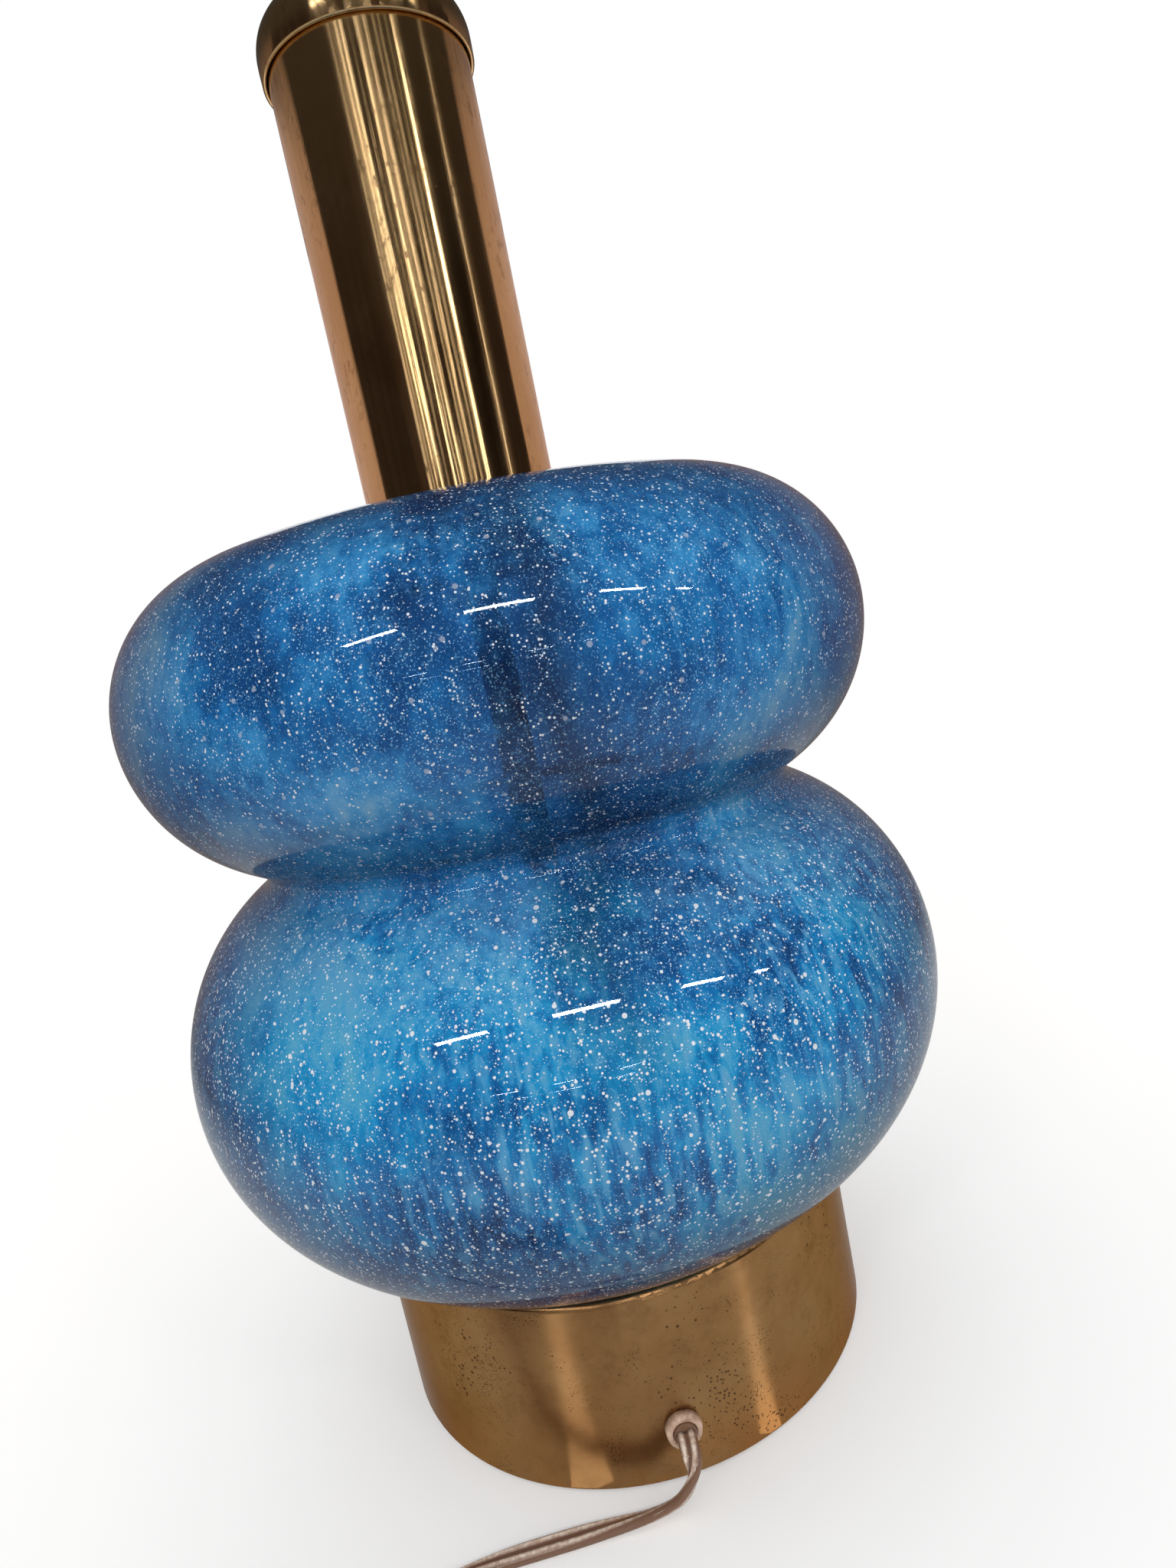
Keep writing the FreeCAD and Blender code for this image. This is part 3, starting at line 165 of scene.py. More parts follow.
zinc, shader = finish("zinc_plate", (0.60, 0.60, 0.58), 0.35, 1.0)
bloom = noise(zinc, 160, 5, roughness=0.6)
tone = shades(zinc, bloom, (0.3, (0.42, 0.42, 0.40)), (0.7, (0.68, 0.68, 0.66)))
join(zinc, tone, shader.inputs["Base Color"])
join(zinc, span(zinc, bloom, 0.3, 0.7, 0.28, 0.5), shader.inputs["Roughness"])
dress(zinc, "weight_washer", "base_nut", "neck_centring_washer", "socket_set_screw")


def thread(material, scale):
    """Level waves up the piece, for the look of a screw thread."""
    wave = add(material, "ShaderNodeTexWave", {"Vector": place(material), "Scale": scale},
               bands_direction="Z")
    return wave.outputs["Fac"]


pipe_steel, shader = finish("pipe_steel", (0.10, 0.10, 0.10), 0.5, 0.8)
oil = noise(pipe_steel, 90, 4)
tone = shades(pipe_steel, oil, (0.3, (0.045, 0.043, 0.04)), (0.7, (0.12, 0.11, 0.10)))
join(pipe_steel, tone, shader.inputs["Base Color"])
relief(pipe_steel, shader, thread(pipe_steel, 180.0), 0.0006)
dress(pipe_steel, "lamp_pipe")


# ---------------------------------------------------------------- brass can
# Spun brass, satin with age: fine lines round it from the spinning lathe, brown bloom
# and pinhead spots of tarnish where the lacquer has gone. The pipe's nut holds it down.

can_brass, shader = finish("aged_satin_brass", (0.31, 0.168, 0.068), 0.3, 1.0)
bloom = noise(can_brass, 26, 6, roughness=0.65)
tone = shades(can_brass, bloom,
              (0.30, (0.245, 0.122, 0.045)), (0.50, (0.31, 0.168, 0.068)), (0.70, (0.37, 0.218, 0.096)))


def pits(scale, patches, least, most):
    """Round spots in the cells of a net where the patches' noise is high, larger where it is higher."""
    cells = add(can_brass, "ShaderNodeTexVoronoi", {"Vector": place(can_brass), "Scale": scale})
    size = span(can_brass, noise(can_brass, patches, 4, roughness=0.7), least, most, -0.08, 0.30)
    return span(can_brass, maths(can_brass, "SUBTRACT", size, cells.outputs["Distance"]), -0.04, 0.06)


pinheads = maths(can_brass, "MAXIMUM",
                 pits(520.0, 34, 0.45, 0.70), pits(900.0, 42, 0.41, 0.67), pits(1500.0, 60, 0.37, 0.65))
stain = span(can_brass, noise(can_brass, 95, 6, roughness=0.75), 0.52, 0.68)
tone = blended(can_brass, maths(can_brass, "MULTIPLY", stain, 0.40), tone, (0.16, 0.075, 0.03))
level = add(can_brass, "ShaderNodeSeparateXYZ", {0: place(can_brass)}).outputs[2]
handled = span(can_brass, level, 0.022, 0.004, 0.0, 0.55)
handled = maths(can_brass, "MULTIPLY", handled, span(can_brass, noise(can_brass, 40, 3), 0.40, 0.60))
tone = blended(can_brass, handled, tone, (0.40, 0.175, 0.055))
tone = blended(can_brass, maths(can_brass, "MULTIPLY", pinheads, 0.8), tone, (0.05, 0.025, 0.014))
join(can_brass, tone, shader.inputs["Base Color"])
lines = noise(can_brass, 1500, 2, stretch=(0.02, 0.02, 1.0))
worn = maths(can_brass, "ADD", bloom, maths(can_brass, "MULTIPLY", lines, 0.4))
join(can_brass, span(can_brass, worn, 0.45, 0.95, 0.21, 0.29), shader.inputs["Roughness"])
shader.inputs["Anisotropic"].default_value = 0.3
shader.inputs["Specular Tint"].default_value = (0.62, 0.50, 0.42, 1.0)
shader.inputs["Anisotropic Rotation"].default_value = 0.25
relief(can_brass, shader, lines, 0.00001)
dress(can_brass, "base_shell")


# ---------------------------------------------------------------- cord bushing
# A cream plastic snap bushing, yellowed with age. It is pushed into a hole low in the can's
# wall, and its rounded head keeps the cord off the hole's edge.

MM = 0.001
BUSHING_TURN = math.radians(3.8)  # round the lamp from its front
BUSHING_HEIGHT = 14.75
WALL_OUT = 69.42
BUSHING_SIDES = 64


def ring_faces(rings, around, closed):
    """Four-cornered faces between neighbouring rings of points. Closed joins the last to the first."""
    i, j = np.meshgrid(np.arange(rings if closed else rings - 1), np.arange(around), indexing="ij")
    up, next_j = (i + 1) % rings, (j + 1) % around
    corners = [i * around + j, i * around + next_j, up * around + next_j, up * around + j]
    return np.stack(corners, axis=-1).reshape(-1, 4).tolist()


def surface(name, points, faces, smooth=True):
    """A new piece, from its points in metres and its faces."""
    mesh = bpy.data.meshes.new(name)
    mesh.from_pydata(np.reshape(points, (-1, 3)).tolist(), [], faces)
    mesh.polygons.foreach_set("use_smooth", [smooth] * len(mesh.polygons))
    piece = bpy.data.objects.new(name, mesh)
    bpy.context.scene.collection.objects.link(piece)
    return piece


# An outline, as distance from the bushing's own axis and distance out from the can's wall, goes
# round that axis. Two small waves in the first distance are the unevenness of an old moulding.
ring_outline = np.array([
    (3.15, -1.2), (2.95, -0.6), (2.95, 1.6), (3.02, 2.05), (3.20, 2.28), (3.50, 2.38), (3.90, 2.34),
    (4.25, 2.16), (4.48, 1.84), (4.60, 1.40), (4.60, -0.14), (4.10, -0.18), (4.10, -1.0), (3.95, -1.2)])
swing = np.linspace(0, 2 * np.pi, BUSHING_SIDES, endpoint=False)
chips = 1 + 0.012 * np.sin(3 * swing + 0.6) + 0.008 * np.sin(7 * swing)
away, out = ring_outline[:, :1] * chips, ring_outline[:, 1:] + 0 * swing
sideways, upwards = away * np.cos(swing), away * np.sin(swing)
outward = np.array([math.sin(BUSHING_TURN), -math.cos(BUSHING_TURN), 0.0])
beside = np.array([math.cos(BUSHING_TURN), math.sin(BUSHING_TURN), 0.0])
points = (sideways[..., None] * beside + upwards[..., None] * (0, 0, 1)
          + (out + WALL_OUT)[..., None] * outward + (0, 0, BUSHING_HEIGHT)) * MM
faces = ring_faces(len(ring_outline), BUSHING_SIDES, closed=True)
faces = [[face[0], *face[:0:-1]] for face in faces]  # turned over, to point outwards
bushing = surface("bushing_ring", points, faces)

cream, shader = finish("cream_plastic", (0.56, 0.37, 0.27), 0.36)
tone = shades(cream, noise(cream, 420, 4, roughness=0.6),
              (0.30, (0.36, 0.22, 0.15)), (0.45, (0.56, 0.37, 0.27)), (0.70, (0.74, 0.56, 0.43)))
join(cream, tone, shader.inputs["Base Color"])
relief(cream, shader, noise(cream, 900, 3), 0.00006)
shader.inputs["Subsurface Weight"].default_value = 0.08
shader.inputs["Subsurface Radius"].default_value = (0.002, 0.0014, 0.0008)
bushing.data.materials.append(cream)
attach(bushing, "lamp")
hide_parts("cord_bushing")


# ---------------------------------------------------------------- blown glass
# Two stacked lobes, blown in one: clear glass cased over a cloudy blue layer that is full
# of silver-white flecks. The nut on the pipe holds it between the can and the neck.

GLASS_SIDES = 256
GLASS_WALL, COLOUR_FROM, COLOUR_TO = 4.0, 1.7, 2.6  # depths below the outside, in millimetres


def rounds(*pieces):
    """An outline, radius and height in millimetres, from rounds and points in order.

    A round is (centre radius, centre height, radius, first angle, last angle) in degrees.
    """
    path = []
    for piece in pieces:
        if len(piece) == 2:
            path.append(np.array([piece]))
        else:
            r, z, size, first, last = piece
            turn = np.radians(np.linspace(first, last, max(3, int(abs(last - first)))))
            path.append(np.stack([r + size * np.cos(turn), z + size * np.sin(turn)], axis=1))
    return np.concatenate(path)


def evenly(path, count):
    """The same line with its points evenly spaced along it."""
    along = np.concatenate([[0], np.cumsum(np.linalg.norm(np.diff(path, axis=0), axis=1))])
    at = np.linspace(0, along[-1], count)
    return np.stack([np.interp(at, along, path[:, k]) for k in (0, 1)], axis=1)


def spun(name, path, around):
    """A surface spun about the lamp's axis from a closed outline, each point of it at its own radius."""
    turn = np.linspace(0, 2 * np.pi, around, endpoint=False)
    r, z = path[:, :1], path[:, 1:]
    points = np.stack([r * np.cos(turn), r * np.sin(turn), z + 0 * turn], axis=-1) * MM
    return surface(name, points, ring_faces(len(path), around, closed=True))


def glass_outline(inset):
    """The two lobes with their pinched waist and the well for the neck, inset from the outside."""
    lower, upper, shoulder, waist = (50.1, 108.7), (57.8, 202.9), (60.8, 202.9), (78.7697, 160.8373)
    low_turn, high_turn = 61.194, -63.502
    return rounds(
        (9.0, 53.2 + inset),
        (*lower, 55.5 - inset, -90.0, low_turn),
        (*waist, 4.0 + inset, 180 + low_turn, 180 + high_turn),
        (*upper, 43.0 - inset, high_turn, 0.0),
        (*shoulder, 40.0 - inset, 0.0, 90.0),
        (52.0, 220.9, 22.0 - inset, 90.0, 135.0),
        (32.2008, 240.7, 6.0 + inset, -45.0, -90.0),
        (20.0, 234.7 - inset),
    )


def layer_between(name, outer, inner, outer_points, inner_points):
    """The glass between two insets: up along the outer one and back down along the inner one."""
    rise = evenly(glass_outline(outer), outer_points)
    fall = evenly(glass_outline(inner), inner_points)[::-1]
    return spun(name, np.concatenate([rise, fall]), GLASS_SIDES)


skin = layer_between("glass_skin", 0.0, GLASS_WALL, outer_points=220, inner_points=150)
colour_layer = layer_between("glass_colour", COLOUR_FROM, COLOUR_TO, outer_points=200, inner_points=160)

clear, shader = finish("clear_glass", (1.0, 1.0, 1.0), 0.0)
shader.inputs["Transmission Weight"].default_value = 1.0
shader.inputs["IOR"].default_value = 1.46
let_through = add(clear, "ShaderNodeBsdfTransparent", {"Color": (0.94, 0.97, 1.0, 1.0)})
in_shadow = add(clear, "ShaderNodeLightPath").outputs["Is Shadow Ray"]
either = add(clear, "ShaderNodeMixShader", {
    0: in_shadow, 1: shader.outputs[0], 2: let_through.outputs[0]})
join(clear, either.outputs[0], clear.node_tree.nodes["Material Output"].inputs["Surface"])
skin.data.materials.append(clear)

blue, shader = finish("cloudy_blue_glass", (0.04, 0.17, 0.42), 0.5)
shader.inputs["Specular IOR Level"].default_value = 0.1
spot = add(blue, "ShaderNodeSeparateXYZ", {0: place(blue)}).outputs
height = spot[2]
is_upper = span(blue, height, 0.150, 0.172)
is_lower = span(blue, is_upper, 0.0, 1.0, 1.0, 0.0)

# Clouds, wisps and mottling, with upright folds in patches of the lower lobe and on its right,
# which is lighter. Painted shade darkens a broad band down the middle, and painted light
# brightens the bottom of the lower lobe.
clouds = noise(blue, 13, 4, roughness=0.6, distortion=0.3)
wisps = noise(blue, 60, 5, stretch=(1, 1, 0.7), roughness=0.62, distortion=0.5)
mottle = noise(blue, 330, 3, stretch=(1, 1, 0.6), roughness=0.6)
folds = noise(blue, 400, 2, stretch=(1, 1, 0.17), roughness=0.5, distortion=0.5)
bright_side = maths(blue, "MULTIPLY", span(blue, spot[0], 0.012, 0.050), is_lower)
fold_patches = maths(blue, "MAXIMUM", span(blue, noise(blue, 16, 2), 0.42, 0.58), bright_side)
fold_share = maths(blue, "MULTIPLY", span(blue, is_upper, 0.0, 1.0, 1.0, 0.30), fold_patches)
# Painted shade: darker in a broad band down the middle, lighter away from it.
off_shaded_middle = maths(blue, "ABSOLUTE", maths(blue, "SUBTRACT", spot[0], 0.008))
# Painted light from below makes the bottom of the lower lobe lighter.
cloudy = maths(
    blue, "ADD",
    maths(blue, "MULTIPLY", clouds, 0.55), maths(blue, "MULTIPLY", wisps, 0.30),
    span(blue, off_shaded_middle, 0.010, 0.055, -0.010, 0.022), span(blue, height, 0.060, 0.115, 0.018, 0.0),
    maths(blue, "MULTIPLY", mottle, 0.15), maths(blue, "MULTIPLY", bright_side, 0.042),
    maths(blue, "MULTIPLY", maths(blue, "SUBTRACT", folds, 0.48), fold_share, 0.34))
lower_tone = shades(
    blue, cloudy, (0.39, (0.003, 0.060, 0.22)), (0.45, (0.005, 0.165, 0.47)),
    (0.505, (0.007, 0.32, 0.76)), (0.565, (0.018, 0.54, 1.0)), (0.66, (0.20, 0.76, 1.0)))
upper_tone = shades(
    blue, cloudy, (0.39, (0.003, 0.032, 0.14)), (0.45, (0.006, 0.11, 0.35)),
    (0.505, (0.014, 0.26, 0.66)), (0.565, (0.070, 0.52, 1.0)), (0.65, (0.38, 0.78, 1.0)))
tone = blended(blue, is_upper, lower_tone, upper_tone)
# Painted highlights: pale streaks down the folds.
painted_fold_highlights = maths(blue, "MULTIPLY", span(blue, folds, 0.54, 0.70), fold_share, 0.85)
tone = blended(blue, painted_fold_highlights, tone, (0.22, 0.66, 1.0))

# A paler ring under the waist, a pale painted glint round the well's lip, a darker streak of
# painted shade down the front, and a denser look towards the edges.
# Painted shade: a darker streak down the front, which wanders a little from side to side.
wander = span(blue, noise(blue, 30, 2), 0.3, 0.7, -0.004, 0.004)
off_painted_shade_streak = maths(blue, "ABSOLUTE", maths(blue, "SUBTRACT", maths(blue, "ADD", spot[0], wander), 0.009))
painted_shade_streak = maths(blue, "MULTIPLY", span(blue, off_painted_shade_streak, 0.000, 0.013, 1.0, 0.0),
               span(blue, spot[1], -0.02, -0.05), span(blue, height, 0.115, 0.145))
ring = maths(blue, "MULTIPLY", span(blue, height, 0.136, 0.148), span(blue, height, 0.161, 0.154),
             span(blue, painted_shade_streak, 0.0, 0.6, 0.6, 0.0), span(blue, wisps, 0.35, 0.60))
tone = blended(blue, ring, tone, (0.24, 0.60, 0.98))
from_axis = add(blue, "ShaderNodeVectorMath", {0: place(blue, (1, 1, 0))}, operation="LENGTH")
from_axis = from_axis.outputs["Value"]
# Painted highlight: a pale glint round the lip of the well, about the neck's foot.
painted_lip_glint = maths(blue, "MULTIPLY", span(blue, from_axis, 0.043, 0.033), span(blue, height, 0.226, 0.234),
            span(blue, wisps, 0.35, 0.6, 0.1, 0.7))
tone = blended(blue, painted_lip_glint, tone, (0.50, 0.80, 1.0))
edge_on = span(blue, add(blue, "ShaderNodeLayerWeight", {"Blend": 0.5}).outputs["Facing"], 0.15, 0.30)
# Denser towards the edges, and darker still along the painted shade streak.
dense_and_painted_shade = maths(blue, "MAXIMUM",
              maths(blue, "MULTIPLY", painted_shade_streak, 0.72), maths(blue, "MULTIPLY", edge_on, 0.75))
tone = blended(blue, dense_and_painted_shade, tone, (0.010, 0.024, 0.085))


def fleck_share(scale, share_of_cells, smallest, largest, rarity, soft):
    """1 inside flecks and 0 outside: a ball in some of the cells of a net, soft at its edge.

    Its radius, as a share of a cell, goes from the smallest to the largest by a random number
    to the power of the rarity, so most flecks are small.
    """
    cells = add(blue, "ShaderNodeTexVoronoi", {"Vector": place(blue), "Scale": scale})
    luck = add(blue, "ShaderNodeSeparateColor", {0: cells.outputs["Color"]})
    kept = maths(blue, "GREATER_THAN", luck.outputs[0], 1.0 - share_of_cells)
    size = span(blue, maths(blue, "POWER", luck.outputs[1], rarity), 0.0, 1.0, smallest, largest)
    edge = span(blue, maths(blue, "SUBTRACT", size, cells.outputs["Distance"]), -soft, soft)
    return maths(blue, "MULTIPLY", edge, kept)


dust = fleck_share(2000.0, 0.95, smallest=0.17, largest=0.40, rarity=1.6, soft=0.07)
grains = fleck_share(1350.0, 0.95, smallest=0.09, largest=0.40, rarity=3.0, soft=0.04)
low_grains = fleck_share(820.0, 0.95, smallest=0.07, largest=0.34, rarity=3.0, soft=0.03)
low_grains = maths(blue, "MULTIPLY", low_grains, is_lower)
stones = fleck_share(400.0, 0.85, smallest=0.05, largest=0.26, rarity=4.5, soft=0.02)
stones = maths(blue, "MULTIPLY", stones, span(blue, is_upper, 0.0, 1.0, 1.0, 0.6))
silver = maths(blue, "MAXIMUM", grains, low_grains, stones)
dust_there = span(blue, noise(blue, 45, 3), 0.35, 0.60, 0.55, 1.0)
powder = maths(blue, "MULTIPLY", dust, dust_there, span(blue, edge_on, 0.0, 1.0, 1.0, 0.3))
powder_seen = maths(blue, "MULTIPLY", powder, span(blue, dense_and_painted_shade, 0.0, 1.0, 0.9, 0.45))
tone = blended(blue, powder_seen, tone, (0.34, 0.74, 1.0))
join(blue, blended(blue, silver, tone, (1.0, 1.0, 1.0)), shader.inputs["Base Color"])

# The blue lets some light through where it is thin, and none through its flecks. Its denser
# edges and the painted shade streak let less through.
solid = maths(blue, "MAXIMUM",
              span(blue, cloudy, 0.40, 0.60, 0.34, 0.62), maths(blue, "MULTIPLY", dense_and_painted_shade, 0.9),
              silver, maths(blue, "MULTIPLY", powder, 0.8))
through = add(blue, "ShaderNodeBsdfTransparent", {"Color": (0.42, 0.74, 0.96, 1.0)})
layer = add(blue, "ShaderNodeMixShader", {0: solid, 1: through.outputs[0], 2: shader.outputs[0]})
join(blue, layer.outputs[0], blue.node_tree.nodes["Material Output"].inputs["Surface"])
colour_layer.data.materials.append(blue)

for piece in (skin, colour_layer):
    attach(piece, "lamp")
    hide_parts("glass_body")


# ---------------------------------------------------------------- neck
# A drawn brass tube, polished lengthwise, that stands in the well of the glass on a black
# rubber ring. A shallow spun cap of the same brass closes its top.

rubber, shader = finish("black_rubber", (0.03, 0.03, 0.03), 0.7)
relief(rubber, shader, noise(rubber, 700, 4), 0.0001)
dress(rubber, "neck_gasket")

polished, shader = finish("polished_brass", (0.66, 0.44, 0.21), 0.2, 1.0)
bloom = noise(polished, 30, 5, roughness=0.6)
tone = shades(polished, bloom,
              (0.30, (0.56, 0.35, 0.155)), (0.55, (0.66, 0.44, 0.21)), (0.75, (0.76, 0.54, 0.29)))
strokes = noise(polished, 700, 3, stretch=(1, 1, 0.02))
worn = noise(polished, 60, 5, roughness=0.7)
specks = noise(polished, 420, 4, stretch=(1, 1, 0.6), roughness=0.7)
tarnish = maths(polished, "MULTIPLY",
                span(polished, specks, 0.52, 0.66), span(polished, worn, 0.46, 0.60, 0.0, 0.75))
join(polished, blended(polished, tarnish, tone, (0.34, 0.19, 0.085)), shader.inputs["Base Color"])
rubbed = maths(polished, "ADD",
               maths(polished, "MULTIPLY", strokes, 0.6), maths(polished, "MULTIPLY", worn, 0.4))
dull = maths(polished, "ADD",
             span(polished, rubbed, 0.38, 0.62, 0.10, 0.20), maths(polished, "MULTIPLY", tarnish, 0.12))
join(polished, dull, shader.inputs["Roughness"])
shader.inputs["Anisotropic"].default_value = 0.9
shader.inputs["Anisotropic Rotation"].default_value = 0.25
relief(polished, shader, strokes, 0.00002)
dress(polished, "neck_tube")

# The cap's skirt is drawn in until it nearly touches the tube.
cap_outline = rounds(
    (26.30, 357.3), (26.45, 356.8), (26.8, 356.7), (27.2, 356.8), (27.4, 357.2), (27.45, 361.0),
    (17.95, 361.7, 9.5, 4.0, 90.0), (5.5, 371.2), (5.5, 370.2), (17.95, 361.7, 8.5, 90.0, 4.0),
    (26.45, 361.0), (26.3, 359.0))
CAP_SIDES = 192
cap = spun("spun_cap", cap_outline, CAP_SIDES)
cap.data.materials.append(polished)
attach(cap, "lamp")
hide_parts("neck_cap")


# ---------------------------------------------------------------- cap washer, nut, saddle and harp
# Brass-plated steel: a washer and a nut on the pipe, the stamped saddle, and the bent wire
# harp whose slotted feet drop over the saddle's tongues under two sliding sleeves.

plated, shader = finish("brass_plate", (0.72, 0.53, 0.27), 0.22, 1.0)
bloom = noise(plated, 60, 4)
tone = shades(plated, bloom, (0.3, (0.62, 0.44, 0.21)), (0.7, (0.78, 0.59, 0.31)))
join(plated, tone, shader.inputs["Base Color"])
join(plated, span(plated, bloom, 0.3, 0.7, 0.24, 0.34), shader.inputs["Roughness"])
dress(plated, "cap_washer", "cap_nut", "harp_saddle", "harp", "harp_stud", "ferrule_left",
      "ferrule_right", "finial", "socket_cap", "socket_shell", "terminal_screw_live",
      "terminal_screw_neutral")


# ---------------------------------------------------------------- socket
# A brass shell over an insulating paper liner, round a moulded block that carries the
# bulb's aluminium screw shell and its bronze contact.

liner, shader = finish("fish_paper", (0.16, 0.10, 0.06), 0.8)
tone = shades(liner, noise(liner, 500, 4), (0.3, (0.12, 0.07, 0.04)), (0.7, (0.20, 0.13, 0.08)))
join(liner, tone, shader.inputs["Base Color"])
dress(liner, "shell_liner")

moulding, shader = finish("black_moulding", (0.022, 0.018, 0.016), 0.4)
relief(moulding, shader, noise(moulding, 350, 3), 0.00005)
dress(moulding, "socket_insulator")

threaded, shader = finish("bulb_shell_metal", (0.62, 0.58, 0.48), 0.3, 1.0)
relief(threaded, shader, thread(threaded, 45.0), 0.0006)
dress(threaded, "screw_shell")

bronze, shader = finish("contact_bronze", (0.66, 0.44, 0.24), 0.28, 1.0)
join(bronze, span(bronze, noise(bronze, 300, 3), 0.3, 0.7, 0.2, 0.4), shader.inputs["Roughness"])
dress(bronze, "centre_contact")


# ---------------------------------------------------------------- switch
# A brass stem in the socket's moulded block, which sticks out through the shell's notch. A
# fluted knob of dark brown plastic is pressed on to its end.

dress(plated, "switch_stem")
knob, shader = finish("dark_knob", (0.03, 0.02, 0.014), 0.3)
join(knob, span(knob, noise(knob, 260, 4), 0.3, 0.7, 0.24, 0.42), shader.inputs["Roughness"])
dress(knob, "switch_knob")


# ---------------------------------------------------------------- cord
# Clear golden-brown flat twin cord, two stranded conductors in one skin with a groove
# between. Past the picture it is put away in a tied coil that ends in its plug.

exit_point = np.array([4.755, -71.662, 14.75])
run = [
    exit_point,
    (5.0, -74.9, 14.4),
    (5.0, -77.4, 12.4),
    (3.9, -78.6, 8.8),
    (0.6, -78.8, 5.0),
    (-4.6, -78.2, 2.7),
    (-10.0, -78.0, 1.9),
    (-20.9, -77.8, 1.58),
    (-32.0, -77.9, 1.35),
    (-44.0, -78.4, 1.42),
    (-58.0, -80.6, 1.95),
    (-70.0, -84.2, 2.45),
    (-83.0, -86.9, 2.65),
    (-95.0, -87.25, 2.6),
]

# The coil is half turns about centres on one line, each a little smaller than the last for the
# first layer and a little larger for the second. The cord climbs in the half turn between them.
COIL_MIDDLE = np.array([-108.0, -123.0])
COIL_LOW, COIL_HIGH, COIL_PITCH, COIL_RADIUS = 2.6, 8.2, 3.5, 35.75
HALF_TURNS, CLIMBS_AT, POINTS_EACH = 17, 8, 7
around_coil = []
radius = COIL_RADIUS
start = COIL_MIDDLE + (0, COIL_RADIUS)
for k in range(HALF_TURNS):
    side = 1 if k % 2 == 0 else -1
    centre = start - (0, side * radius)
    climb = np.clip(k + np.arange(POINTS_EACH) / POINTS_EACH - CLIMBS_AT, 0, 1)
    swing = np.arange(POINTS_EACH) * np.pi / POINTS_EACH
    outside = radius / math.cos(np.pi / POINTS_EACH / 2) ** 2  # the curve passes inside its points
    for turn, rise in zip(swing, climb):
        reach = side * (outside if turn > 0 else radius)
        around_coil.append((centre[0] - reach * math.sin(turn), centre[1] + reach * math.cos(turn),
                            COIL_LOW + rise * (COIL_HIGH - COIL_LOW)))
    start = centre - (0, side * radius)
    radius += -COIL_PITCH / 2 if k < CLIMBS_AT else COIL_PITCH / 2
around_coil.append((start[0], start[1], COIL_HIGH))
tail = [(-95.0, -158.75, 8.2), (-82.5, -158.75, 7.8), (-69.5, -156.55, 6.35), (-57.0, -153.95, 6.35)]
route = np.array([*run, *around_coil, *tail]) * MM

# The cord's own line is a NURBS spline with the route's points as its control points.
line = bpy.data.curves.new("cord_line", "CURVE")
line.dimensions = "3D"
line.resolution_u = 6
spline = line.splines.new("NURBS")
spline.points.add(len(route) - 1)
spline.points.foreach_set("co", np.c_[route, np.ones(len(route))].ravel())
spline.order_u = 3
spline.use_endpoint_u = True
holder = bpy.data.objects.new("cord_line", line)
drawn = bpy.data.meshes.new_from_object(holder)
path = np.zeros(len(drawn.vertices) * 3)
drawn.vertices.foreach_get("co", path)
path = path.reshape(-1, 3)
bpy.data.objects.remove(holder)


def flat_cord(name, path, wide, thick, around):
    """A tube of flat twin section along the path.

    The section is two rounds side by side, joined by a web: its half thickness is the larger
    of the two rounds' at each place across. It twists a little as it drops, lies flat on the
    table, and stands on edge in the coil, turning over smoothly in between.
    """
    ahead = np.gradient(path, axis=0)
    ahead /= np.linalg.norm(ahead, axis=1)[:, None]
    along = np.concatenate([[0], np.cumsum(np.linalg.norm(np.diff(path, axis=0), axis=1))])
    level = np.cross((0, 0, 1), ahead)
    level /= np.maximum(np.linalg.norm(level, axis=1), 1e-9)[:, None]
    upright = np.cross(ahead, level)

    def smooth(a, b):
        """From 0 at the first distance along the cord to 1 at the second, smooth at both."""
        share = np.clip((along - a) / (b - a), 0, 1)
        return share * share * (3 - 2 * share)

    # In metres along the cord: it turns on edge, lies down again near its end, and twists as
    # it leaves the bushing, until it lies on the table.
    end = along[-1]
    twist = 0.75  # radians
    on_edge = smooth(0.050, 0.105) - smooth(end - 0.040, end - 0.006)
    in_the_drop = smooth(0.0, 0.009) * (1 - smooth(0.018, 0.044))
    turn_over = on_edge * np.pi / 2 + in_the_drop * twist
    across = level * np.cos(turn_over)[:, None] + upright * np.sin(turn_over)[:, None]
    through = np.cross(across, ahead)
    angle = np.linspace(0, 2 * np.pi, around, endpoint=False)
    round_r, apart = thick / 2, (wide - thick) / 2
    web = 0.62 * round_r
    a = np.cos(angle) * wide / 2
    b = np.sqrt(np.maximum(round_r ** 2 - (np.abs(a) - apart) ** 2, web ** 2 * (np.abs(a) < apart)))
    b = b * np.sign(np.sin(angle) + 1e-12)
    points = path[:, None] + across[:, None] * a[None, :, None] + through[:, None] * b[None, :, None]
    count = len(path)
    ends = [list(range(around))[::-1], list(range((count - 1) * around, count * around))]
    cord = surface(name, points, ring_faces(count, around, closed=False) + ends)
    place_on = cord.data.attributes.new("across", "FLOAT", "POINT")
    place_on.data.foreach_set("value", np.tile(a / (wide / 2), count).astype(np.float32))
    return cord


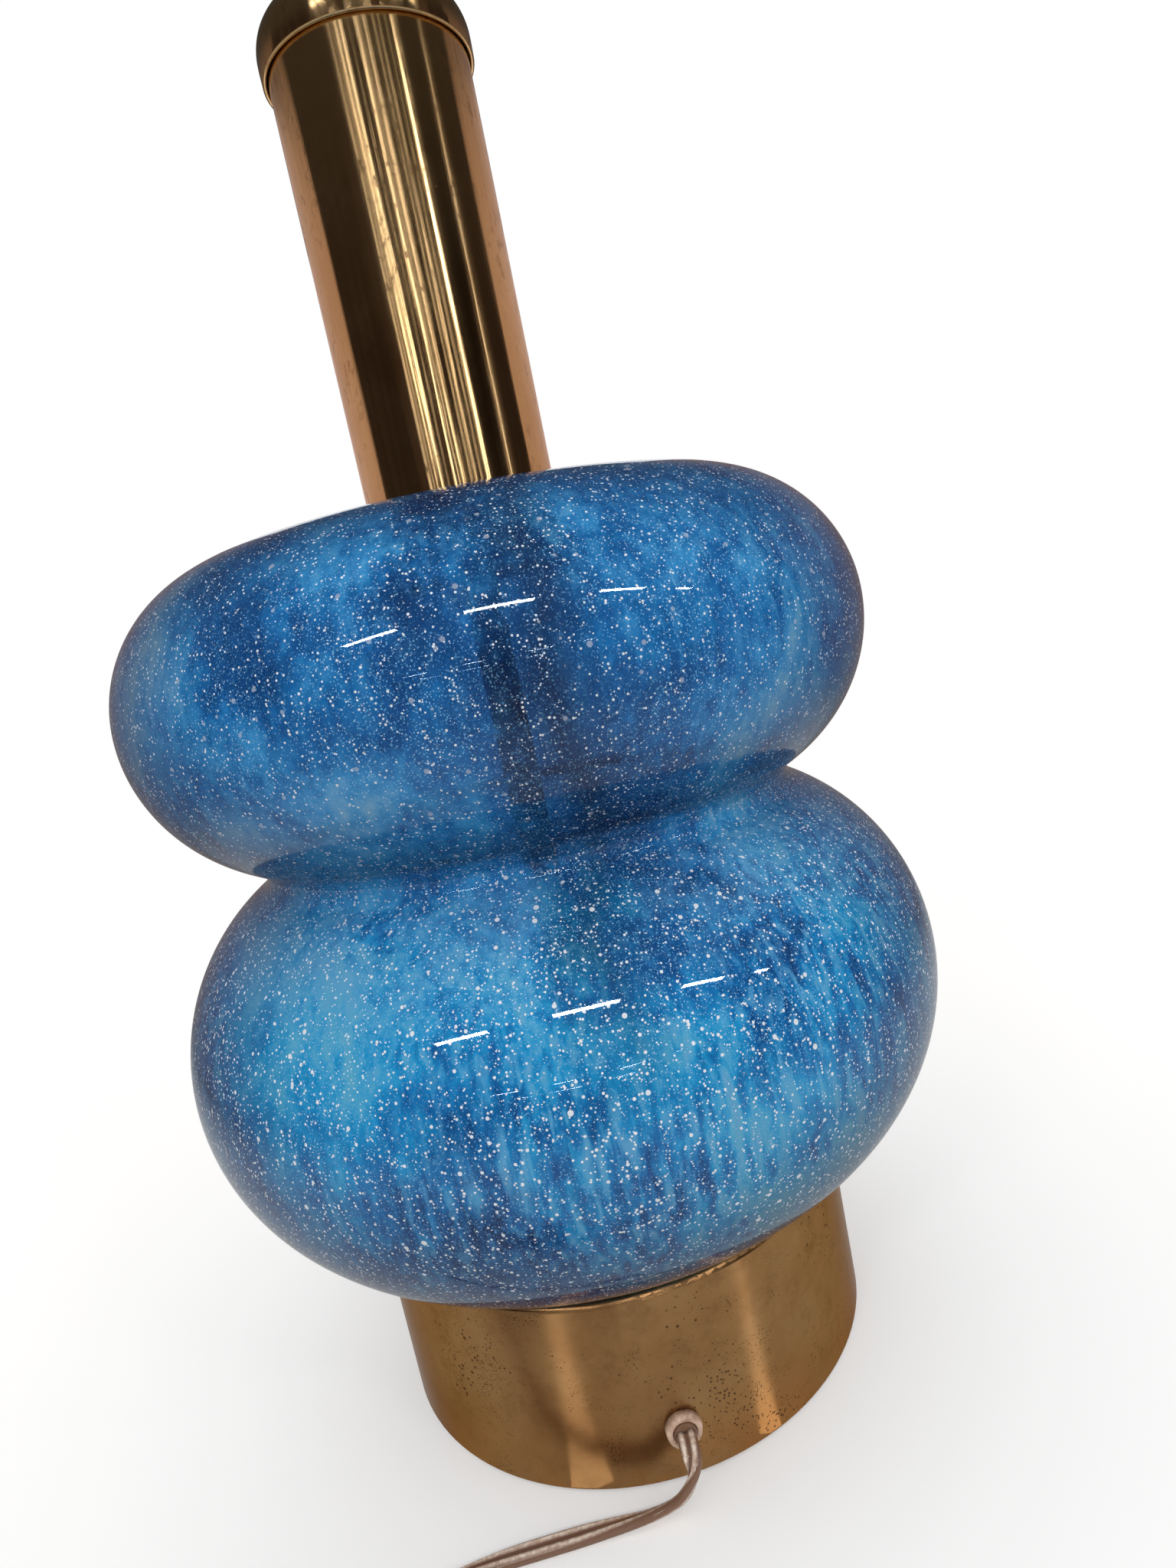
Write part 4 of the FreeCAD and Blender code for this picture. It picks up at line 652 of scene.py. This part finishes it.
CORD_WIDE, CORD_THICK, CORD_SIDES = 4.9 * MM, 2.4 * MM, 24
cord_piece = flat_cord("flat_twin_cord", path, CORD_WIDE, CORD_THICK, CORD_SIDES)
clear_skin, shader = finish("clear_brown_cord", (0.66, 0.53, 0.42), 0.2)
across = add(clear_skin, "ShaderNodeAttribute", attribute_name="across").outputs["Fac"]
off_wire = maths(clear_skin, "SUBTRACT", maths(clear_skin, "ABSOLUTE", across), 0.52)
wire = span(clear_skin, maths(clear_skin, "ABSOLUTE", off_wire), 0.36, 0.08)
strands = shades(clear_skin, noise(clear_skin, 900, 2),
                 (0.35, (0.66, 0.46, 0.34)), (0.65, (1.0, 0.86, 0.74)))
join(clear_skin, blended(clear_skin, wire, (0.20, 0.105, 0.065), strands), shader.inputs["Base Color"])
shader.inputs["Coat Weight"].default_value = 0.6
shader.inputs["Coat Roughness"].default_value = 0.12
cord_piece.data.materials.append(clear_skin)
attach(cord_piece, "lamp")
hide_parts("cord_run", "cord_coil", "cord_tail")
dress(clear_skin, "cord_inner")

conductor, shader = finish("lead_skin", (0.50, 0.36, 0.20), 0.3)
tone = shades(conductor, noise(conductor, 400, 3), (0.3, (0.40, 0.28, 0.15)), (0.7, (0.58, 0.45, 0.28)))
join(conductor, tone, shader.inputs["Base Color"])
dress(conductor, "lead_live", "lead_neutral")

tie_paper, shader = finish("tie_paper", (0.62, 0.58, 0.50), 0.7)
tone = shades(tie_paper, noise(tie_paper, 300, 4), (0.3, (0.54, 0.50, 0.42)), (0.7, (0.70, 0.66, 0.58)))
join(tie_paper, tone, shader.inputs["Base Color"])
dress(tie_paper, "coil_tie")

plug_plastic, shader = finish("brown_plug", (0.33, 0.23, 0.12), 0.35)
tone = shades(plug_plastic, noise(plug_plastic, 60, 4),
              (0.3, (0.28, 0.19, 0.095)), (0.7, (0.38, 0.27, 0.15)))
join(plug_plastic, tone, shader.inputs["Base Color"])
shader.inputs["Coat Weight"].default_value = 0.3
shader.inputs["Coat Roughness"].default_value = 0.2
dress(plug_plastic, "plug_body")

blade_brass, shader = finish("blade_brass", (0.72, 0.58, 0.33), 0.22, 1.0)
dull = span(blade_brass, noise(blade_brass, 200, 3), 0.3, 0.7, 0.16, 0.34)
join(blade_brass, dull, shader.inputs["Roughness"])
dress(blade_brass, "plug_blades")


# ---------------------------------------------------------------- table
# A pale round table top, which takes the lamp's shadow. What is seen of it is lifted to
# the white of the room behind. It darkens towards its edge, so the glass mirrors no edge.

TABLE_RADIUS, TABLE_SIDES = 0.55, 96


def round_sheet(name, middle_x, middle_y, height, radius, sides):
    """One level face, whose corners stand evenly round a circle."""
    turn = np.linspace(0, 2 * np.pi, sides, endpoint=False)
    x, y = middle_x + radius * np.cos(turn), middle_y + radius * np.sin(turn)
    points = np.stack([x, y, 0 * turn + height], axis=1)
    return surface(name, points, [tuple(range(sides))], smooth=False)


table_top = round_sheet("table_top", 0, 0, 0, TABLE_RADIUS, TABLE_SIDES)
pale, shader = finish("pale_table", (0.86, 0.86, 0.86), 0.9)
shader.inputs["Specular IOR Level"].default_value = 0.1
from_middle = add(pale, "ShaderNodeVectorMath", {0: place(pale)}, operation="LENGTH").outputs["Value"]
near = span(pale, from_middle, 0.54, 0.28)  # 0 at the rim, 1 round the lamp
rays = add(pale, "ShaderNodeLightPath").outputs
dimmer = maths(pale, "MULTIPLY", near, span(pale, rays["Is Glossy Ray"], 0.0, 1.0, 1.0, 0.40))
join(pale, blended(pale, dimmer, (0.20, 0.20, 0.20), (0.86, 0.86, 0.86)), shader.inputs["Base Color"])
mirrored = maths(pale, "MAXIMUM", rays["Is Glossy Ray"], rays["Is Transmission Ray"])
mirrored = maths(pale, "MULTIPLY", mirrored, near, 0.10)
seen = maths(pale, "MULTIPLY", rays["Is Camera Ray"], span(pale, near, 0.0, 1.0, 0.82, 0.24))
lift = add(pale, "ShaderNodeEmission", {"Color": (1, 1, 1, 1)})
join(pale, maths(pale, "ADD", seen, mirrored), lift.inputs["Strength"])
lifted = add(pale, "ShaderNodeAddShader", {0: shader.outputs[0], 1: lift.outputs[0]})
join(pale, lifted.outputs[0], pale.node_tree.nodes["Material Output"].inputs["Surface"])
table_top.data.materials.append(pale)


# ---------------------------------------------------------------- room
# A white room for the camera, for mirrors and for glass; an even pale light for the rest.
# Three rows of ceiling tubes, and cloths that only mirrors see, which stand for the room's
# own dim walls and ceiling.

world = bpy.data.worlds.new("room")
bpy.context.scene.world = world
world.use_nodes = True
world.node_tree.nodes.clear()
rays = add(world, "ShaderNodeLightPath").outputs
white_share = maths(world, "MAXIMUM",
                    rays["Is Camera Ray"], rays["Is Glossy Ray"], rays["Is Transmission Ray"])
pale_light = add(world, "ShaderNodeBackground", {"Color": (1.0, 0.985, 0.965, 1), "Strength": 0.86})
white_light = add(world, "ShaderNodeBackground", {"Color": (1, 1, 1, 1), "Strength": 1.0})
either = add(world, "ShaderNodeMixShader", {
    0: white_share, 1: pale_light.outputs[0], 2: white_light.outputs[0]})
join(world, either.outputs[0], add(world, "ShaderNodeOutputWorld").inputs[0])


def lit_pieces(name, *nodes):
    """The pieces that some of the lights are for."""
    group = bpy.data.collections.new(name)
    for node in nodes:
        group.objects.link(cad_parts[node])
    return group


WHITE, TAN = (1, 1, 1), (1, 0.74, 0.68)
ALL_BUT_MIRRORS = ("camera", "diffuse", "transmission", "volume_scatter")


def area_light(name, wide, tall, radiance, receivers, colour=WHITE, unseen_by=ALL_BUT_MIRRORS,
               shape="RECTANGLE"):
    """A flat light that glows with that radiance, for its receivers alone."""
    data = bpy.data.lights.new(name, "AREA")
    data.shape = shape
    data.size, data.size_y = wide, tall
    data.energy = radiance * math.pi * wide * tall * (math.pi / 4 if shape == "DISK" else 1)
    data.color = colour
    light = bpy.data.objects.new(name, data)
    for way in unseen_by:
        setattr(light, f"visible_{way}", False)
    light.light_linking.receiver_collection = receivers
    bpy.context.scene.collection.objects.link(light)
    return light


# The neck has its own strips, further on, so the ceiling lights leave it out.
all_but_neck = lit_pieces("all_but_neck", "neck_tube")
all_but_neck.collection_objects[0].light_linking.link_state = "EXCLUDE"
GLASS_HEIGHT, CEILING, TUBE_GLOW = 0.2, 2.5, 30.0


def tube_row(name, away, nearer, deep, spans):
    """Ceiling lights in a row, away metres off on the camera's side, drawn nearer by a share of that.

    A light keeps its direction and its size as seen from the glass when it is drawn nearer.
    Each span is a light's left and right end, and deep is how far it reaches front to back.
    """
    for k, (left, right) in enumerate(spans):
        tube = area_light(f"{name}_{k}", (right - left) * nearer, deep * nearer, TUBE_GLOW,
                          all_but_neck, unseen_by=("camera",))
        height = GLASS_HEIGHT + (CEILING - GLASS_HEIGHT) * nearer
        tube.location = ((left + right) / 2 * nearer, -away * nearer, height)


tube_row("near_tube", away=3.0, nearer=1.0, deep=0.18, spans=(
    (-2.80, -1.55), (-0.36, 0.81), (2.07, 3.24), (4.50, 5.70)))
tube_row("middle_tube", away=15.0, nearer=0.36, deep=0.42, spans=(
    (-11.6, -10.0), (-7.0, -5.0), (-2.4, -0.8), (2.3, 4.1), (6.65, 9.0), (10.0, 11.9)))
tube_row("far_tube", away=24.0, nearer=0.235, deep=0.56, spans=(
    (-15.5, -12.5), (-8.5, -6.5), (-4.4, -0.8), (3.0, 5.4), (10.5, 14.5), (18.0, 21.0)))

CEILING_GLOW = (0.06, 0.055, 0.05)
CEILING_FADE = (2.2, 4.1)


def mirror_cloth(cloth, low, high, bottom, top):
    """Only mirrors see this cloth. Its glow goes from one at a low height to another at a high one.

    Further up, it fades to the ceiling's glow.
    """
    dark, shader = finish(cloth.name, (0, 0, 0), 1.0)
    level = add(dark, "ShaderNodeSeparateXYZ", {0: place(dark)}).outputs[2]
    glow = blended(dark, span(dark, level, low, high), bottom, top)
    glow = blended(dark, span(dark, level, *CEILING_FADE), glow, CEILING_GLOW)
    lit = add(dark, "ShaderNodeEmission", {"Color": glow, "Strength": 1.0})
    join(dark, lit.outputs[0], dark.node_tree.nodes["Material Output"].inputs["Surface"])
    cloth.data.materials.append(dark)
    for way in (*ALL_BUT_MIRRORS, "shadow"):
        setattr(cloth, f"visible_{way}", False)


# The walls stand round the lamp in upright bands. A band goes from its first to its last angle,
# in degrees from the camera's side, and has its own shade.
WALL_AWAY, WALL_FOOT, WALL_TOP, WALL_STEPS = 6.0, -2.6, 4.1, 8
FLOOR_GLOW = (0.20, 0.17, 0.15)
for k, (first, last, shade) in enumerate((
        (-165, -150, 0.20), (-150, -99, 0.20), (-99, -46, 0.03), (-46, -41, 0.04), (-41, -14, 0.055),
        (-14, -9, 0.02), (-9, -2, 0.06), (-2, 4, 0.02), (4, 10, 0.06), (10, 15, 0.025),
        (15, 22, 0.06), (22, 28, 0.02), (28, 41, 0.05), (41, 62, 0.012), (62, 74, 0.08),
        (74, 99, 0.03), (99, 150, 0.20), (150, 165, 0.20))):
    turn = np.radians(np.linspace(first, last, WALL_STEPS + 1))
    rows = [np.stack([WALL_AWAY * np.sin(turn), -WALL_AWAY * np.cos(turn), 0 * turn + z], axis=1)
            for z in (WALL_FOOT, WALL_TOP)]
    faces = [(j, j + 1, j + WALL_STEPS + 2, j + WALL_STEPS + 1) for j in range(WALL_STEPS)]
    wall = surface(f"wall_cloth_{k}", np.concatenate(rows), faces, smooth=False)
    wall_glow = (shade, shade * 0.74, shade * 0.68)
    mirror_cloth(wall, low=-1.6, high=0.6, bottom=FLOOR_GLOW, top=wall_glow)
corners = [(-9, -9, 4.05), (9, -9, 4.05), (9, 9, 4.05), (-9, 9, 4.05)]
ceiling = surface("ceiling_cloth", corners, [(0, 1, 2, 3)], smooth=False)
mirror_cloth(ceiling, low=2.0, high=4.0, bottom=(0, 0, 0), top=CEILING_GLOW)

# The put-away coil lies out of view, and this cloth over it keeps its image out of the glass.
over_coil = round_sheet("coil_cloth", *(COIL_MIDDLE * MM), height=0.018, radius=0.052, sides=40)
mirror_cloth(over_coil, low=-1.0, high=-0.5, bottom=(0, 0, 0), top=(0.42, 0.42, 0.42))

# Upright strips that light only the brass, for the pale streaks that such tubes draw on it. A
# strip goes from its first to its last angle, glows with its own radiance, and stands from its
# own low height to the common high one.
tall_brass = lit_pieces("tall_brass", "base_shell", "neck_tube", "harp", "harp_stud", "ferrule_left",
                        "ferrule_right", "finial", "socket_cap", "socket_shell")
STRIP_AWAY, STRIP_HIGH = 5.6, 3.4
for k, (first, last, radiance, low, colour) in enumerate((
        (-33, -31, 1.6, 1.0, WHITE), (-29, -28, 1.5, 0.1, WHITE), (-25, -23.2, 6.0, 1.4, WHITE),
        (-20, -17.8, 6.5, 1.2, WHITE), (-11, -10, 1.2, 0.1, WHITE), (-3.5, -1.8, 6.0, 0.8, WHITE),
        (1, 2, 2.0, 0.1, WHITE), (5.5, 6.6, 6.0, 0.3, WHITE), (8, 9, 2.2, 0.1, WHITE),
        (15.5, 16.4, 3.0, 0.1, WHITE), (21.3, 22.2, 3.0, 0.1, WHITE), (28, 28.8, 1.8, 0.1, WHITE),
        (35.2, 37, 9.0, 1.0, WHITE), (66, 67.5, 2.2, 0.1, WHITE),
        (99, 121, 0.40, 0.1, TAN), (121, 143, 0.40, 0.1, TAN), (143, 165, 0.40, 0.1, TAN),
        (-121, -99, 0.40, 0.1, TAN), (-143, -121, 0.40, 0.1, TAN), (-165, -143, 0.40, 0.1, TAN),
        (172, 180, 3.0, 0.1, WHITE))):
    middle, wide = math.radians((first + last) / 2), math.radians(last - first) * STRIP_AWAY
    strip = area_light(f"strip_{k}", wide, STRIP_HIGH - low, radiance, tall_brass, colour)
    stands_at = (STRIP_AWAY * math.sin(middle), -STRIP_AWAY * math.cos(middle), (low + STRIP_HIGH) / 2)
    strip.matrix_world = (
        Matrix.Translation(stands_at) @ Matrix.Rotation(middle, 4, "Z")
        @ Matrix.Rotation(math.radians(-90), 4, "X") @ Matrix.Rotation(math.pi, 4, "Y"))

# Two strips that lie on the table and glow upwards at the can alone: its satin wall mirrors
# the table, and they are the two pale bands down it. Each starts beside the can and leads away.
can_only = lit_pieces("can_only", "base_shell")
TABLE_STRIP_LONG, TABLE_STRIP_HEIGHT = 0.120, 0.0015
for k, (start_x, start_y, way_x, way_y, wide, radiance) in enumerate((
        (26, -64, 0.79, -0.62, 6, 1.0), (-20, -66, -0.64, -0.77, 11, 0.85))):
    strip = area_light(f"table_strip_{k}", wide * MM, TABLE_STRIP_LONG, radiance, can_only)
    half = TABLE_STRIP_LONG / 2
    middle = Vector((start_x * MM + way_x * half, start_y * MM + way_y * half, TABLE_STRIP_HEIGHT))
    along, facing = Vector((way_x, way_y, 0)).normalized(), Vector((0, 0, -1))
    turned = Matrix((along.cross(facing), along, facing)).transposed().to_4x4()
    strip.matrix_world = Matrix.Translation(middle) @ turned

# A faint round glow on the table, for the can alone.
GLOW_ACROSS = 0.8
glow = area_light("table_glow", GLOW_ACROSS, GLOW_ACROSS, 0.25, can_only, shape="DISK")
glow.matrix_world = Matrix.Translation((0, 0, 0.0003)) @ Matrix.Rotation(math.pi, 4, "X")


# ---------------------------------------------------------------- camera
# The photograph's own viewpoint: close to the lamp and level with its upper lobe, looking a
# little down, and rolled by twelve degrees.

eye = bpy.data.cameras.new("eye")
eye.sensor_width = 36.0
eye.lens = 21.18
eye.clip_start = 0.01
camera = bpy.data.objects.new("eye", eye)
right = Vector((0.9749, -0.0991, -0.1995))
up = Vector((0.2122, 0.1413, 0.967))
forward = Vector((0.0676, 0.985, -0.1588))
turned = Matrix((right, up, -forward)).transposed().to_4x4()
camera.matrix_world = Matrix.Translation((0.0, -0.2671, 0.2072)) @ turned
bpy.context.scene.collection.objects.link(camera)
bpy.context.scene.camera = camera
bpy.context.scene.view_settings.view_transform = "Standard"
